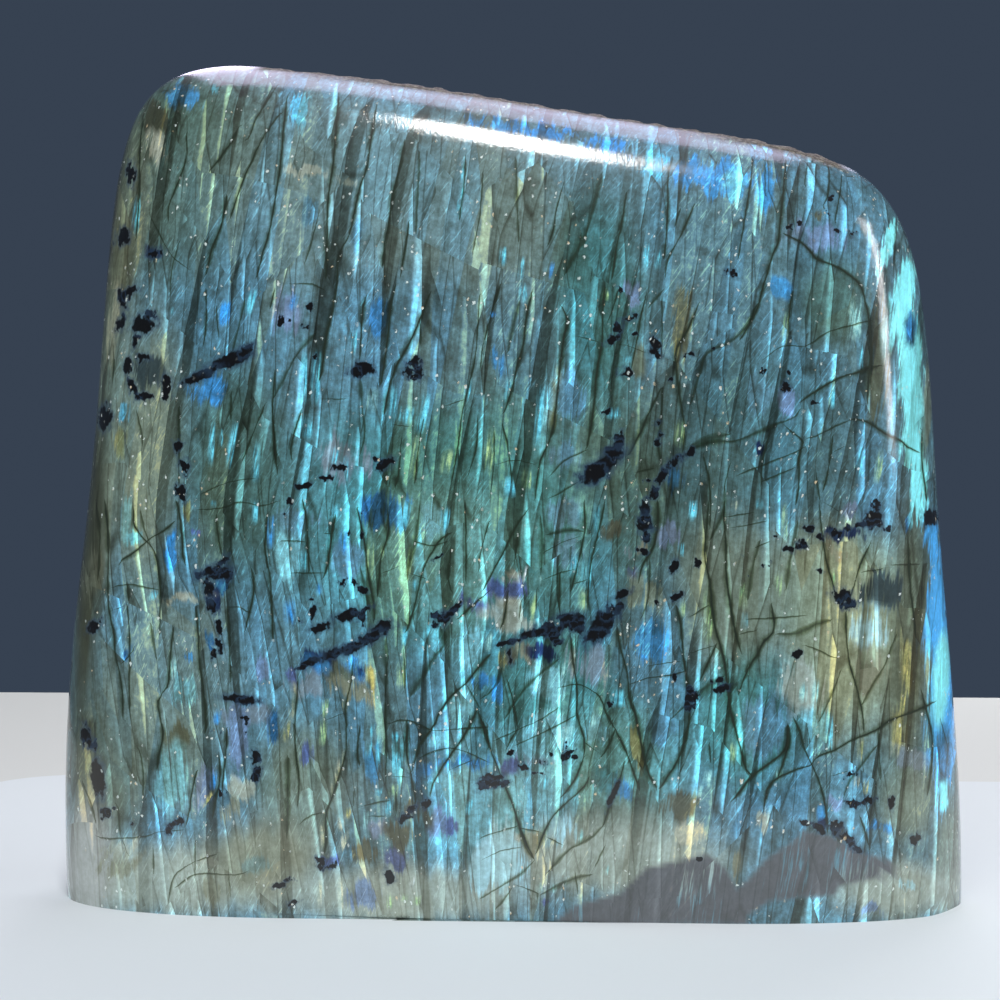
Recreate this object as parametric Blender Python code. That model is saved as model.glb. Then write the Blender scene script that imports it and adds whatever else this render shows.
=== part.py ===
"""A polished labradorite freeform: one solid stone that stands upright on its sawn base.

Metres, +Z up. X runs along the stone's width and Y from its front face to its back face. The origin is on the
base, below the middle of the stone. The stone is one piece, so the model is one object.
"""

import math

import bmesh
import bpy
from mathutils import Vector

MM = 0.001

# The outline seen from the front is a rounded polygon. Each side has the direction that it faces, in degrees
# anticlockwise from +X, and its distance from the stone's middle.
MIDDLE_HEIGHT = 62 * MM
SIDES = {
    "right": (4.4, 71.8 * MM),
    "right_shoulder": (43.0, 112.0 * MM),
    "top": (81.8, 72.1 * MM),
    "left": (174.6, 73.2 * MM),
    "below_the_saw_cut": (270.0, 110.0 * MM),
}
CORNER_SHARPNESS = 8.0

# Both ends lean in towards the top, but stand nearly upright over the base: below TUCK_START the width
# shrinks by this share by the time it reaches the saw cut.
TUCK_START = -8 * MM
TUCK_AT_BASE = {"left": 0.043, "right": 0.026}

# The faces bulge a little in the middle and turn over more and more towards the outline.
HALF_DEPTH = 23 * MM
FACE_FLATNESS = 2.8

# One flat is ground along the right-hand edge of the front face: the way it faces, its distance from the
# stone's middle, and how crisp its ridges are.
EDGE_FLAT_FACES = Vector((0.819, -0.570, 0.063))
EDGE_FLAT_DISTANCE = 61.6 * MM
EDGE_FLAT_CRISPNESS = 90

# Grinding by hand leaves long, shallow waves in the polish: (height, waves per metre along X and Z, phase).
WAVES = (
    (0.30 * MM, (52, 31), 0.9),
    (0.22 * MM, (-38, 66), 2.1),
    (0.14 * MM, (95, 74), 4.0),
)

# A strip along the crest of the top edge was left as found. It lies lower than the polish and is rough.
RAW_STRIP_LEFT, RAW_STRIP_RIGHT = -48 * MM, 60 * MM
RAW_STRIP_FRONT, RAW_STRIP_BACK = -9 * MM, 14 * MM
RAW_STRIP_FADE = 13 * MM
RAW_STRIP_LIP = 2 * MM
RAW_STRIP_DEPTH = 0.9 * MM
RAW_LUMP = 5.5 * MM

# The saw cut that the stone stands on, and the small bevel ground round it.
BASE_BEVEL = 0.8 * MM
BEVEL_SEGMENTS = 2
SHORTEST_EDGE = 0.6 * MM

# Faces along the width, the depth and the height of the block that the stone is ground from.
BLOCK_FACES = (34, 14, 32)
BLOCK_HALF = Vector((75 * MM, HALF_DEPTH, 75 * MM))
BLOCK_BELOW = 84 * MM


def smooth_step(value, low, high):
    share = min(1.0, max(0.0, (value - low) / (high - low)))
    return share * share * (3 - 2 * share)


def outline_share(x, z):
    """0 in the stone's middle and 1 on its outline, for a place measured from the middle."""
    total = 0.0
    for angle, distance in SIDES.values():
        reach = x * math.cos(math.radians(angle)) + z * math.sin(math.radians(angle))
        total += max(0.0, reach / distance) ** CORNER_SHARPNESS
    return total ** (1 / CORNER_SHARPNESS)


def ground_to_shape(point):
    """Moves a point straight out from the stone's middle, or in, until it lies on the polished surface."""
    share = outline_share(point.x, point.z) ** FACE_FLATNESS
    share += abs(point.y / HALF_DEPTH) ** FACE_FLATNESS
    share **= 1 / FACE_FLATNESS
    flat_share = max(0.0, point.dot(EDGE_FLAT_FACES) / EDGE_FLAT_DISTANCE)
    crisp = EDGE_FLAT_CRISPNESS
    return point / (share**crisp + flat_share**crisp) ** (1 / crisp)


def wave_height(point):
    total = 0.0
    for height, (along_x, along_z), phase in WAVES:
        total += height * math.sin(along_x * point.x + along_z * point.z + phase)
    return total


def raw_share(point):
    """1 on the unpolished strip along the top edge, 0 on the polish."""
    if point.z < 0:
        return 0.0
    along = smooth_step(point.x, RAW_STRIP_LEFT, RAW_STRIP_LEFT + RAW_STRIP_FADE)
    along *= 1 - smooth_step(point.x, RAW_STRIP_RIGHT - RAW_STRIP_FADE, RAW_STRIP_RIGHT)
    across = smooth_step(point.y, RAW_STRIP_FRONT, RAW_STRIP_FRONT + RAW_STRIP_LIP)
    across *= 1 - smooth_step(point.y, RAW_STRIP_BACK - RAW_STRIP_LIP, RAW_STRIP_BACK)
    return along * across


def lump_height(point):
    """From 0 to 1, in lumps of about RAW_LUMP."""
    turns = point * (math.tau / RAW_LUMP)
    lumps = math.sin(turns.x * 0.83 + 1.3 * math.sin(turns.y * 0.71)) * math.sin(turns.y * 0.93 + turns.x * 0.21)
    return 0.5 + 0.5 * lumps


def tuck(point):
    """Draws the foot of the stone in, a little more on the left than on the right."""
    below = max(0.0, TUCK_START - point.z) / (TUCK_START + MIDDLE_HEIGHT)
    towards_right = smooth_step(point.x, -BLOCK_HALF.x, BLOCK_HALF.x)
    share = TUCK_AT_BASE["left"] + towards_right * (TUCK_AT_BASE["right"] - TUCK_AT_BASE["left"])
    point.x *= 1 - share * below**2


def surface_point(block_point):
    point = ground_to_shape(block_point)
    tuck(point)
    outward = point.normalized()
    point += outward * wave_height(point)
    rough = raw_share(point)
    point -= outward * rough * RAW_STRIP_DEPTH * (0.25 + 0.75 * lump_height(point))
    return point + Vector((0, 0, MIDDLE_HEIGHT))


def divided_block():
    """A box of even faces, from which the stone's surface is made."""
    mesh = bmesh.new()
    bmesh.ops.create_cube(mesh, size=2)
    for axis, faces in enumerate(BLOCK_FACES):
        along = [e for e in mesh.edges if abs((e.verts[0].co - e.verts[1].co).normalized()[axis]) > 0.99]
        bmesh.ops.subdivide_edges(mesh, edges=along, cuts=faces - 1, use_grid_fill=True)
    for vert in mesh.verts:
        low = BLOCK_BELOW if vert.co.z < 0 else BLOCK_HALF.z
        vert.co = Vector((vert.co.x * BLOCK_HALF.x, vert.co.y * BLOCK_HALF.y, vert.co.z * low))
    return mesh


def saw_the_base(mesh):
    """Cuts the stone off flat at z = 0, closes the cut and grinds a small bevel round it."""
    everything = list(mesh.verts) + list(mesh.edges) + list(mesh.faces)
    cut = bmesh.ops.bisect_plane(
        mesh, geom=everything, dist=1e-7, plane_co=(0, 0, 0), plane_no=(0, 0, 1), clear_inner=True
    )
    rim = [v for v in cut["geom_cut"] if isinstance(v, bmesh.types.BMVert)]
    near_rim = [v for v in mesh.verts if v.co.z < SHORTEST_EDGE]
    bmesh.ops.remove_doubles(mesh, verts=near_rim, dist=SHORTEST_EDGE)
    for vert in mesh.verts:
        if vert.co.z < SHORTEST_EDGE:
            vert.co.z = 0.0
    open_edges = [e for e in mesh.edges if e.is_boundary]
    bmesh.ops.holes_fill(mesh, edges=open_edges, sides=len(rim) + 1)
    base = min(mesh.faces, key=lambda face: face.calc_center_median().z)
    bmesh.ops.bevel(
        mesh, geom=list(base.edges), offset=BASE_BEVEL, segments=BEVEL_SEGMENTS, profile=0.5, affect="EDGES"
    )


def stone_material():
    material = bpy.data.materials.new("polished_labradorite")
    material.use_nodes = True
    shader = material.node_tree.nodes["Principled BSDF"]
    shader.inputs["Base Color"].default_value = (0.13, 0.24, 0.27, 1)
    shader.inputs["Roughness"].default_value = 0.18
    shader.inputs["Metallic"].default_value = 0.0
    return material


def make_stone():
    mesh = divided_block()
    for vert in mesh.verts:
        vert.co = surface_point(vert.co)
    saw_the_base(mesh)
    bmesh.ops.recalc_face_normals(mesh, faces=list(mesh.faces))
    data = bpy.data.meshes.new("stone")
    mesh.to_mesh(data)
    mesh.free()
    data.materials.append(stone_material())
    data.shade_smooth()
    data.set_sharp_from_angle(angle=math.radians(35))
    stone = bpy.data.objects.new("stone", data)
    bpy.context.scene.collection.objects.link(stone)
    return stone


for old in list(bpy.data.objects):
    bpy.data.objects.remove(old)
make_stone()
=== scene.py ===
# %% [markdown]
# # A polished labradorite freeform
#
# The object is one stone, about 150 mm wide, that stands on a sawn base. Labradorite is a feldspar built of
# thin plates. Light that enters between the plates comes back blue, teal or gold, and only from some of
# them, so the polished face looks like a wall of upright, brightly lit splinters with dark cracks between.
#
# The shape is easy and the finish is hard, so this lesson spends little on the first and much on the
# second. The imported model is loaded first, because everything else has to fit inside it.

# %% Load the fixed frame
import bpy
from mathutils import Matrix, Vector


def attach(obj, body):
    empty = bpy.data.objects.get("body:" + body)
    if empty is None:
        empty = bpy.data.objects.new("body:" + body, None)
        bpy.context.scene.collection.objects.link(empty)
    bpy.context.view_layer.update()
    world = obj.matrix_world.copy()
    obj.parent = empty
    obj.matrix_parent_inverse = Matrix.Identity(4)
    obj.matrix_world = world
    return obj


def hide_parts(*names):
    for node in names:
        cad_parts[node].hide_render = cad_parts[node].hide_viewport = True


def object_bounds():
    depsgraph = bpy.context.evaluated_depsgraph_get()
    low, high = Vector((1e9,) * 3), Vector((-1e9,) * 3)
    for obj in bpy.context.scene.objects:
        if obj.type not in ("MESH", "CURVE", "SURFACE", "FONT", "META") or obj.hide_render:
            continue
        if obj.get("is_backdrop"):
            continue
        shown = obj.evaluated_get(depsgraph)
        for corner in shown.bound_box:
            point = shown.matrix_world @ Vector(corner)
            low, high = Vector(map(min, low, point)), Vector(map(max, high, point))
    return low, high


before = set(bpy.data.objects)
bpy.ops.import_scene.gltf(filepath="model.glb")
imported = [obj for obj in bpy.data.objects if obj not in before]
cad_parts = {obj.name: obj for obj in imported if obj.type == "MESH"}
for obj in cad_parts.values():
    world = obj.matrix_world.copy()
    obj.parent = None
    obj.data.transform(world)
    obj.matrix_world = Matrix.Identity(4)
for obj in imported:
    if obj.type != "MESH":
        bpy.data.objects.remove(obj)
cad_box = [list(map(float, corner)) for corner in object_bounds()]

import math

import bmesh
import bpy
import numpy as np
from mathutils import Vector

MM = 0.001
print("the packed stone fills", [[round(c / MM, 1) for c in corner] for corner in cad_box], "mm")

# %% [markdown]
# ## The photographer's eye
#
# The camera stands level, about a forearm's length away, a little to the right of the middle, and is turned
# three degrees back towards it. Its numbers have a second use. The marks on the face are measured in the
# photo's own frame, so what aims the camera also carries each mark back onto the stone.

# %% Aim the camera
PHOTO_SIDE = 1000
FOCAL_PIXELS = 1834
SENSOR = 36
EYE_TURN = math.radians(3)
EYE_DISTANCE = 313 * MM
EYE_SIDESTEP = -2.5 * MM
EYE_HEIGHT = 67 * MM

to_the_right = np.array((math.cos(EYE_TURN), math.sin(EYE_TURN), 0.0))
line_of_sight = np.array((-math.sin(EYE_TURN), math.cos(EYE_TURN), 0.0))
eye = -line_of_sight * EYE_DISTANCE + to_the_right * EYE_SIDESTEP + np.array((0, 0, EYE_HEIGHT))


def in_the_photo(points):
    """Where points of the stone fall in the photo's frame, in its pixels."""
    away = points - eye
    depth = away @ line_of_sight
    across = PHOTO_SIDE / 2 + FOCAL_PIXELS * (away @ to_the_right) / depth
    down = PHOTO_SIDE / 2 - FOCAL_PIXELS * away[:, 2] / depth
    return np.stack((across, down), axis=1)


camera_data = bpy.data.cameras.new("camera")
camera_data.lens = FOCAL_PIXELS / PHOTO_SIDE * SENSOR
camera_data.sensor_width = SENSOR
camera = bpy.data.objects.new("camera", camera_data)
camera.location = Vector(eye)
camera.rotation_euler = Vector(line_of_sight).to_track_quat("-Z", "Y").to_euler()
bpy.context.scene.collection.objects.link(camera)
bpy.context.scene.camera = camera
print("lens", round(camera_data.lens, 1), "mm")

# %% [markdown]
# ## The table
#
# The stone stands on a pale sheet that lies on a pale table, before a plain dark wall. The sheet's straight
# far edge shows in the picture. Its near edge matters more: the polish mirrors the sheet in a pale band
# along the foot of the stone, and that band ends where the sheet ends.

# %% Lay the sheet and the table
SHEET_HALF = 129 * MM
TABLE_FRONT, TABLE_BACK, TABLE_HALF_WIDTH = -129 * MM, 335 * MM, 340 * MM
TABLE_DROP = 2 * MM
SLAB_THICKNESS = 6 * MM
SLAB_CORNER = 20 * MM
CORNER_STEPS = 8
PALE_SHEET = (0.68, 0.72, 0.75)
PALE_TABLE = (0.62, 0.63, 0.61)
PAPER_ROUGHNESS, TABLE_ROUGHNESS = 0.7, 0.6
FAINT_SHEEN = 0.2


def rounded_slab(name, low, high, top, thickness):
    """A flat slab with round corners, from its low and high corners in plan."""
    mesh = bmesh.new()
    rim = []
    corners = ((high[0], high[1]), (low[0], high[1]), (low[0], low[1]), (high[0], low[1]))
    for turn, (cx, cy) in enumerate(corners):
        inner = (cx - math.copysign(SLAB_CORNER, cx - (low[0] + high[0]) / 2),
                 cy - math.copysign(SLAB_CORNER, cy - (low[1] + high[1]) / 2))
        for step in range(CORNER_STEPS + 1):
            angle = math.pi / 2 * (turn + step / CORNER_STEPS)
            x = inner[0] + SLAB_CORNER * math.cos(angle)
            y = inner[1] + SLAB_CORNER * math.sin(angle)
            rim.append(mesh.verts.new((x, y, top)))
    face = mesh.faces.new(rim)
    sides = bmesh.ops.extrude_face_region(mesh, geom=[face])
    lowered = [v for v in sides["geom"] if isinstance(v, bmesh.types.BMVert)]
    bmesh.ops.translate(mesh, verts=lowered, vec=(0, 0, -thickness))
    bmesh.ops.recalc_face_normals(mesh, faces=list(mesh.faces))
    data = bpy.data.meshes.new(name)
    mesh.to_mesh(data)
    mesh.free()
    slab = bpy.data.objects.new(name, data)
    bpy.context.scene.collection.objects.link(slab)
    slab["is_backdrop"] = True
    return slab


def plain_finish(name, colour, roughness):
    finish = bpy.data.materials.new(name)
    finish.use_nodes = True
    shader = finish.node_tree.nodes["Principled BSDF"]
    shader.inputs["Base Color"].default_value = (*colour, 1)
    shader.inputs["Roughness"].default_value = roughness
    shader.inputs["Specular IOR Level"].default_value = FAINT_SHEEN
    return finish


sheet = rounded_slab("pale_sheet", (-SHEET_HALF, -SHEET_HALF), (SHEET_HALF, SHEET_HALF), 0.0, TABLE_DROP)
sheet.data.materials.append(plain_finish("sheet_paper", PALE_SHEET, PAPER_ROUGHNESS))
table_low, table_high = (-TABLE_HALF_WIDTH, TABLE_FRONT), (TABLE_HALF_WIDTH, TABLE_BACK)
table = rounded_slab("pale_table", table_low, table_high, -TABLE_DROP, SLAB_THICKNESS)
table.data.materials.append(plain_finish("table_top", PALE_TABLE, TABLE_ROUGHNESS))
print("sheet reaches", round(SHEET_HALF / MM), "mm each way")

# %% [markdown]
# ## The light
#
# A polished stone is half colour and half mirror, so each lamp is chosen for what it does to one of the
# two. A small lamp high up draws the white streak on the top shoulder, and a narrow one draws the thin
# white line down the right shoulder. A broad panel above and behind is what the very top edge mirrors, as a
# soft lavender band. Broad fills carry the colour of the front, the ends and the back, and stay out of the
# mirror, because the face shows no lamp in it.

# %% Hang the lamps
AIM = Vector((0, 0, 70 * MM))
WALL = (0.038, 0.054, 0.082)


def hang_lamp(name, place, size, watts, colour=(1, 1, 1), mirrored=True, lights_up=True):
    """A lamp that faces the stone. It can be left out of the mirror, or be seen in the mirror alone."""
    lamp_data = bpy.data.lights.new(name, "AREA")
    lamp_data.shape = "RECTANGLE"
    lamp_data.size, lamp_data.size_y = size
    lamp_data.energy = watts
    lamp_data.color = colour
    lamp = bpy.data.objects.new(name, lamp_data)
    lamp.location = place
    lamp.rotation_euler = (AIM - Vector(place)).to_track_quat("-Z", "Y").to_euler()
    lamp.visible_camera = False
    lamp.visible_glossy = mirrored
    lamp.visible_diffuse = lights_up
    bpy.context.scene.collection.objects.link(lamp)


hang_lamp("high_lamp", (0.075, -0.42, 1.0), (0.10, 0.13), 4.0)
hang_lamp("sky_panel", (0.0, 0.40, 0.75), (0.66, 1.0), 9.0, (0.82, 0.73, 0.98), lights_up=False)
hang_lamp("edge_lamp", (0.76, -0.27, 0.38), (0.015, 0.5), 1.6, lights_up=False)
hang_lamp("front_fill", (-0.12, -1.0, 0.42), (0.7, 0.5), 10.5, mirrored=False)
hang_lamp("left_fill", (-0.95, -0.15, 0.30), (0.5, 0.5), 3.0, mirrored=False)
hang_lamp("right_fill", (0.95, -0.1, 0.30), (0.5, 0.5), 5.2, mirrored=False)
hang_lamp("back_fill", (0.25, 0.95, 0.35), (0.8, 0.6), 8.0, mirrored=False)

world = bpy.data.worlds.new("dark_wall")
world.use_nodes = True
world.node_tree.nodes["Background"].inputs["Color"].default_value = (*WALL, 1)
bpy.context.scene.world = world
bpy.context.scene.view_settings.view_transform = "Standard"

# %% [markdown]
# ## The ground shape
#
# A freeform is ground by hand until nothing sharp is left. Seen from the front it is a rounded polygon, and
# from the side its faces bulge and turn over towards the outline. Both are one formula: a block of even
# faces is drawn in, point by point along the line to the stone's middle, until it lies on the surface.
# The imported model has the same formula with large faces. Here the block has many more, so the outline is
# smooth and the marks have points to hold on to.

# %% The stone's own measures
MIDDLE_HEIGHT = 62 * MM
SIDES = (
    (4.4, 71.8 * MM),
    (43.0, 112.0 * MM),
    (81.8, 72.1 * MM),
    (174.6, 73.2 * MM),
    (270.0, 110.0 * MM),
)
CORNER_SHARPNESS = 8.0
TUCK_START = -8 * MM
TUCK_LEFT, TUCK_RIGHT = 0.043, 0.026
HALF_DEPTH = 23 * MM
FACE_FLATNESS = 2.8
EDGE_FLAT_FACES = np.array((0.819, -0.570, 0.063))
EDGE_FLAT_DISTANCE = 61.6 * MM
EDGE_FLAT_CRISPNESS = 90
WAVES = ((0.30 * MM, 52, 31, 0.9), (0.22 * MM, -38, 66, 2.1), (0.14 * MM, 95, 74, 4.0))
BLOCK_HALF = (75 * MM, HALF_DEPTH, 75 * MM)
BLOCK_BELOW = 84 * MM


def rise(values, low, high):
    """0 up to low, 1 from high on, and a smooth step between."""
    share = np.clip((values - low) / (high - low), 0, 1)
    return share * share * (3 - 2 * share)


def ground_to_shape(points):
    outline = np.zeros(len(points))
    for angle, distance in SIDES:
        reach = points[:, 0] * math.cos(math.radians(angle)) + points[:, 2] * math.sin(math.radians(angle))
        outline += np.maximum(0, reach / distance) ** CORNER_SHARPNESS
    bulge = np.abs(points[:, 1] / HALF_DEPTH) ** FACE_FLATNESS
    share = outline ** (FACE_FLATNESS / CORNER_SHARPNESS) + bulge
    share **= 1 / FACE_FLATNESS
    flat = np.maximum(0, points @ EDGE_FLAT_FACES / EDGE_FLAT_DISTANCE)
    crisp = EDGE_FLAT_CRISPNESS
    return points / ((share**crisp + flat**crisp) ** (1 / crisp))[:, None]


# %% The rough strip on the crest
STRIP_LEFT, STRIP_RIGHT, STRIP_FADE = -48 * MM, 60 * MM, 13 * MM
STRIP_FRONT, STRIP_BACK, STRIP_LIP = -9 * MM, 14 * MM, 2 * MM
STRIP_DEPTH = 0.9 * MM
LUMP = 5.5 * MM
LUMP_LEAST = 0.25
GRAIN = 1.3 * MM
GRAIN_DEPTH = 0.22 * MM


def strip_share(points):
    """1 on the strip that was left as found, 0 on the polish."""
    x, y, z = points.T
    along = rise(x, STRIP_LEFT, STRIP_LEFT + STRIP_FADE)
    along *= 1 - rise(x, STRIP_RIGHT - STRIP_FADE, STRIP_RIGHT)
    across = rise(y, STRIP_FRONT, STRIP_FRONT + STRIP_LIP)
    across *= 1 - rise(y, STRIP_BACK - STRIP_LIP, STRIP_BACK)
    return np.where(z < 0, 0, along * across)


def lump_height(points):
    turns = points * (math.tau / LUMP)
    wander = turns[:, 0] * 0.83 + 1.3 * np.sin(turns[:, 1] * 0.71)
    return 0.5 + 0.5 * np.sin(wander) * np.sin(turns[:, 1] * 0.93 + turns[:, 0] * 0.21)


def grain_height(points):
    turns = points * (math.tau / GRAIN)
    coarse = np.sin(turns[:, 0] + 2.1 * np.sin(turns[:, 1] * 0.37)) * np.sin(turns[:, 1] * 0.9 + 1.7)
    return 0.5 + 0.5 * coarse * np.sin(turns[:, 0] * 0.41 + turns[:, 1] * 0.53)


# %% Grind the block
BLOCK_FACES = (206, 28, 204)


def block_lattice():
    """Corner points and square faces of a divided box, its shared edges joined."""
    counts = np.array(BLOCK_FACES)
    stride = np.array(((counts[1] + 1) * (counts[2] + 1), counts[2] + 1, 1))
    squares = []
    for axis in range(3):
        u_axis, v_axis = (axis + 1) % 3, (axis + 2) % 3
        u, v = np.meshgrid(np.arange(counts[u_axis]), np.arange(counts[v_axis]), indexing="ij")
        for side in (0, counts[axis]):
            ring = [(0, 0), (1, 0), (1, 1), (0, 1)]
            if side == 0:
                ring.reverse()
            first = side * stride[axis]
            ids = [first + (u + du) * stride[u_axis] + (v + dv) * stride[v_axis] for du, dv in ring]
            squares.append(np.stack(ids, axis=-1).reshape(-1, 4))
    used, faces = np.unique(np.concatenate(squares), return_inverse=True)
    lattice = np.stack((used // stride[0], used // stride[1] % (counts[1] + 1), used % stride[1]), axis=1)
    return lattice / counts * 2 - 1, faces.reshape(-1, 4)


def ground_stone():
    lattice, faces = block_lattice()
    block = lattice * BLOCK_HALF
    block[:, 2] = lattice[:, 2] * np.where(lattice[:, 2] < 0, BLOCK_BELOW, BLOCK_HALF[2])
    points = ground_to_shape(block)
    below = np.maximum(0, TUCK_START - points[:, 2]) / (TUCK_START + MIDDLE_HEIGHT)
    towards_right = rise(points[:, 0], -BLOCK_HALF[0], BLOCK_HALF[0])
    points[:, 0] *= 1 - (TUCK_LEFT + towards_right * (TUCK_RIGHT - TUCK_LEFT)) * below**2
    outward = points / np.linalg.norm(points, axis=1)[:, None]
    for height, along_x, along_z, phase in WAVES:
        swell = height * np.sin(along_x * points[:, 0] + along_z * points[:, 2] + phase)
        points = points + outward * swell[:, None]
    rough = strip_share(points)
    sunk = STRIP_DEPTH * (LUMP_LEAST + (1 - LUMP_LEAST) * lump_height(points))
    sunk += GRAIN_DEPTH * grain_height(points)
    points = points - outward * (rough * sunk)[:, None]
    points[:, 2] += MIDDLE_HEIGHT
    return points, faces, rough


points, faces, rough = ground_stone()
print("ground:", len(points), "points,", len(faces), "faces")

# %% Saw the base and ground its edge
BASE_BEVEL = 0.8 * MM
BEVEL_STEPS = 2
SHORTEST_EDGE = 0.3 * MM
SAW_SLACK = 1e-7
SHARP_ANGLE = math.radians(35)

raw_mesh = bpy.data.meshes.new("stone_block")
raw_mesh.from_pydata(points.tolist(), [], faces.tolist())
sawing = bmesh.new()
sawing.from_mesh(raw_mesh)
bpy.data.meshes.remove(raw_mesh)
whole = list(sawing.verts) + list(sawing.edges) + list(sawing.faces)
bmesh.ops.bisect_plane(
    sawing, geom=whole, dist=SAW_SLACK, plane_co=(0, 0, 0), plane_no=(0, 0, 1), clear_inner=True
)
near_rim = [v for v in sawing.verts if v.co.z < SHORTEST_EDGE]
bmesh.ops.remove_doubles(sawing, verts=near_rim, dist=SHORTEST_EDGE)
for vert in sawing.verts:
    if vert.co.z < SHORTEST_EDGE:
        vert.co.z = 0.0
open_edges = [e for e in sawing.edges if e.is_boundary]
bmesh.ops.holes_fill(sawing, edges=open_edges, sides=len(open_edges) + 1)
base = min(sawing.faces, key=lambda face: face.calc_center_median().z)
base_rim = list(base.edges)
bmesh.ops.bevel(
    sawing, geom=base_rim, offset=BASE_BEVEL, segments=BEVEL_STEPS, profile=0.5, affect="EDGES"
)
bmesh.ops.recalc_face_normals(sawing, faces=list(sawing.faces))
stone_mesh = bpy.data.meshes.new("labradorite_stone")
sawing.to_mesh(stone_mesh)
sawing.free()
stone_mesh.shade_smooth()
stone_mesh.set_sharp_from_angle(angle=SHARP_ANGLE)
print("sawn:", len(stone_mesh.vertices), "points,", len(stone_mesh.polygons), "faces")

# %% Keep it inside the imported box
places = np.empty(len(stone_mesh.vertices) * 3)
stone_mesh.vertices.foreach_get("co", places)
places = places.reshape(-1, 3)
box_low, box_high = np.array(cad_box[0]), np.array(cad_box[1])
fine_low, fine_high = places.min(axis=0), places.max(axis=0)
fit = np.minimum(1, (box_high - box_low) / (fine_high - fine_low))
places = np.maximum(fine_low, box_low) + (places - fine_low) * fit
places = np.minimum(places, box_high)
stone_mesh.vertices.foreach_set("co", places.ravel())
stone_mesh.update()
print("drawn in by", (1 - fit).round(5), "along X, Y and Z")

stone = bpy.data.objects.new("labradorite_stone", stone_mesh)
bpy.context.scene.collection.objects.link(stone)
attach(stone, "root")
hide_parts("stone")

# %% [markdown]
# ## Three maps of the surface
#
# Every mark on the stone is drawn on a flat map first. The front's map is the photo's own frame. The back's
# is the same thing seen from behind, and the rim's is a ribbon unrolled along the outline. All three count
# in the photo's pixels, about six to the millimetre. Each point of the mesh knows its place on each map and
# how much it belongs to it, so that one map runs into the next without a line.

# %% Lay out the maps
PIXELS = 5860
MAP_MIDDLE_X, MAP_BASE_Y = 514.5, 892.6
FRONT_END, RIM_START = 4 * MM, -3 * MM
RIM_END, BACK_START = 15 * MM, 7 * MM

from_middle = places - np.array((0, 0, MIDDLE_HEIGHT))
turn_round = np.arctan2(from_middle[:, 2], from_middle[:, 0])
RIM_RADIUS = 74 * MM
rim_map = np.stack((turn_round * RIM_RADIUS * PIXELS, places[:, 1] * PIXELS), axis=1)
back_map = np.stack((MAP_MIDDLE_X - places[:, 0] * PIXELS, MAP_BASE_Y - places[:, 2] * PIXELS), axis=1)
front_map = in_the_photo(places)

front_share = 1 - rise(places[:, 1], RIM_START, FRONT_END)
back_share = rise(places[:, 1], BACK_START, RIM_END)
rim_share = np.clip(1 - front_share - back_share, 0, 1)
on_front = front_map[front_share > 0.5]
print("front map spans", on_front.min(axis=0).round(), on_front.max(axis=0).round())

# %% [markdown]
# ## The tones
#
# On the real face the blue, the teal and the gold lie in patches a few millimetres to a few centimetres
# across, with softly torn edges. Painting them on the points of the mesh is the plainest way to put them
# where they belong. Each tone also says how brilliant it is, which is how strongly its splinters light up.

# %% The palette
TONES = {
    "steel": ((84, 122, 136), 0.60),
    "dusk_steel": ((72, 106, 112), 0.55),
    "teal": ((70, 120, 120), 0.60),
    "green_teal": ((74, 100, 92), 0.45),
    "fern": ((98, 146, 142), 0.60),
    "azure": ((60, 125, 172), 0.80),
    "cyan": ((92, 172, 198), 0.80),
    "haze": ((100, 127, 129), 0.42),
    "bright_azure": ((78, 172, 240), 0.18),
    "bright_cyan": ((138, 240, 250), 0.16),
    "aqua": ((108, 164, 174), 0.55),
    "pale_aqua": ((146, 186, 194), 0.25),
    "vivid_azure": ((56, 140, 206), 0.45),
    "deep_blue": ((42, 92, 130), 0.60),
    "navy": ((20, 34, 62), 0.30),
    "violet": ((76, 92, 132), 0.45),
    "sage": ((128, 144, 124), 0.35),
    "lavender": ((106, 128, 154), 0.40),
    "olive": ((82, 92, 77), 0.35),
    "dark_olive": ((52, 57, 44), 0.15),
    "tan": ((118, 124, 106), 0.25),
    "gold": ((128, 132, 90), 0.50),
    "pale_green": ((139, 153, 144), 0.24),
    "cream": ((146, 154, 140), 0.30),
    "lilac": ((104, 120, 128), 0.30),
    "slate": ((80, 84, 88), 0.0),
    "grey_green": ((104, 122, 112), 0.35),
    "brown": ((76, 82, 68), 0.20),
    "dark": ((46, 60, 62), 0.20),
    "silver": ((142, 150, 148), 0.10),
}


def seen_colour(bytes_rgb):
    """A colour as a screen shows it, turned into the amount of light that it stands for."""
    screen = np.array(bytes_rgb) / 255
    return np.where(screen <= 0.04045, screen / 12.92, ((screen + 0.055) / 1.055) ** 2.4)


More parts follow.
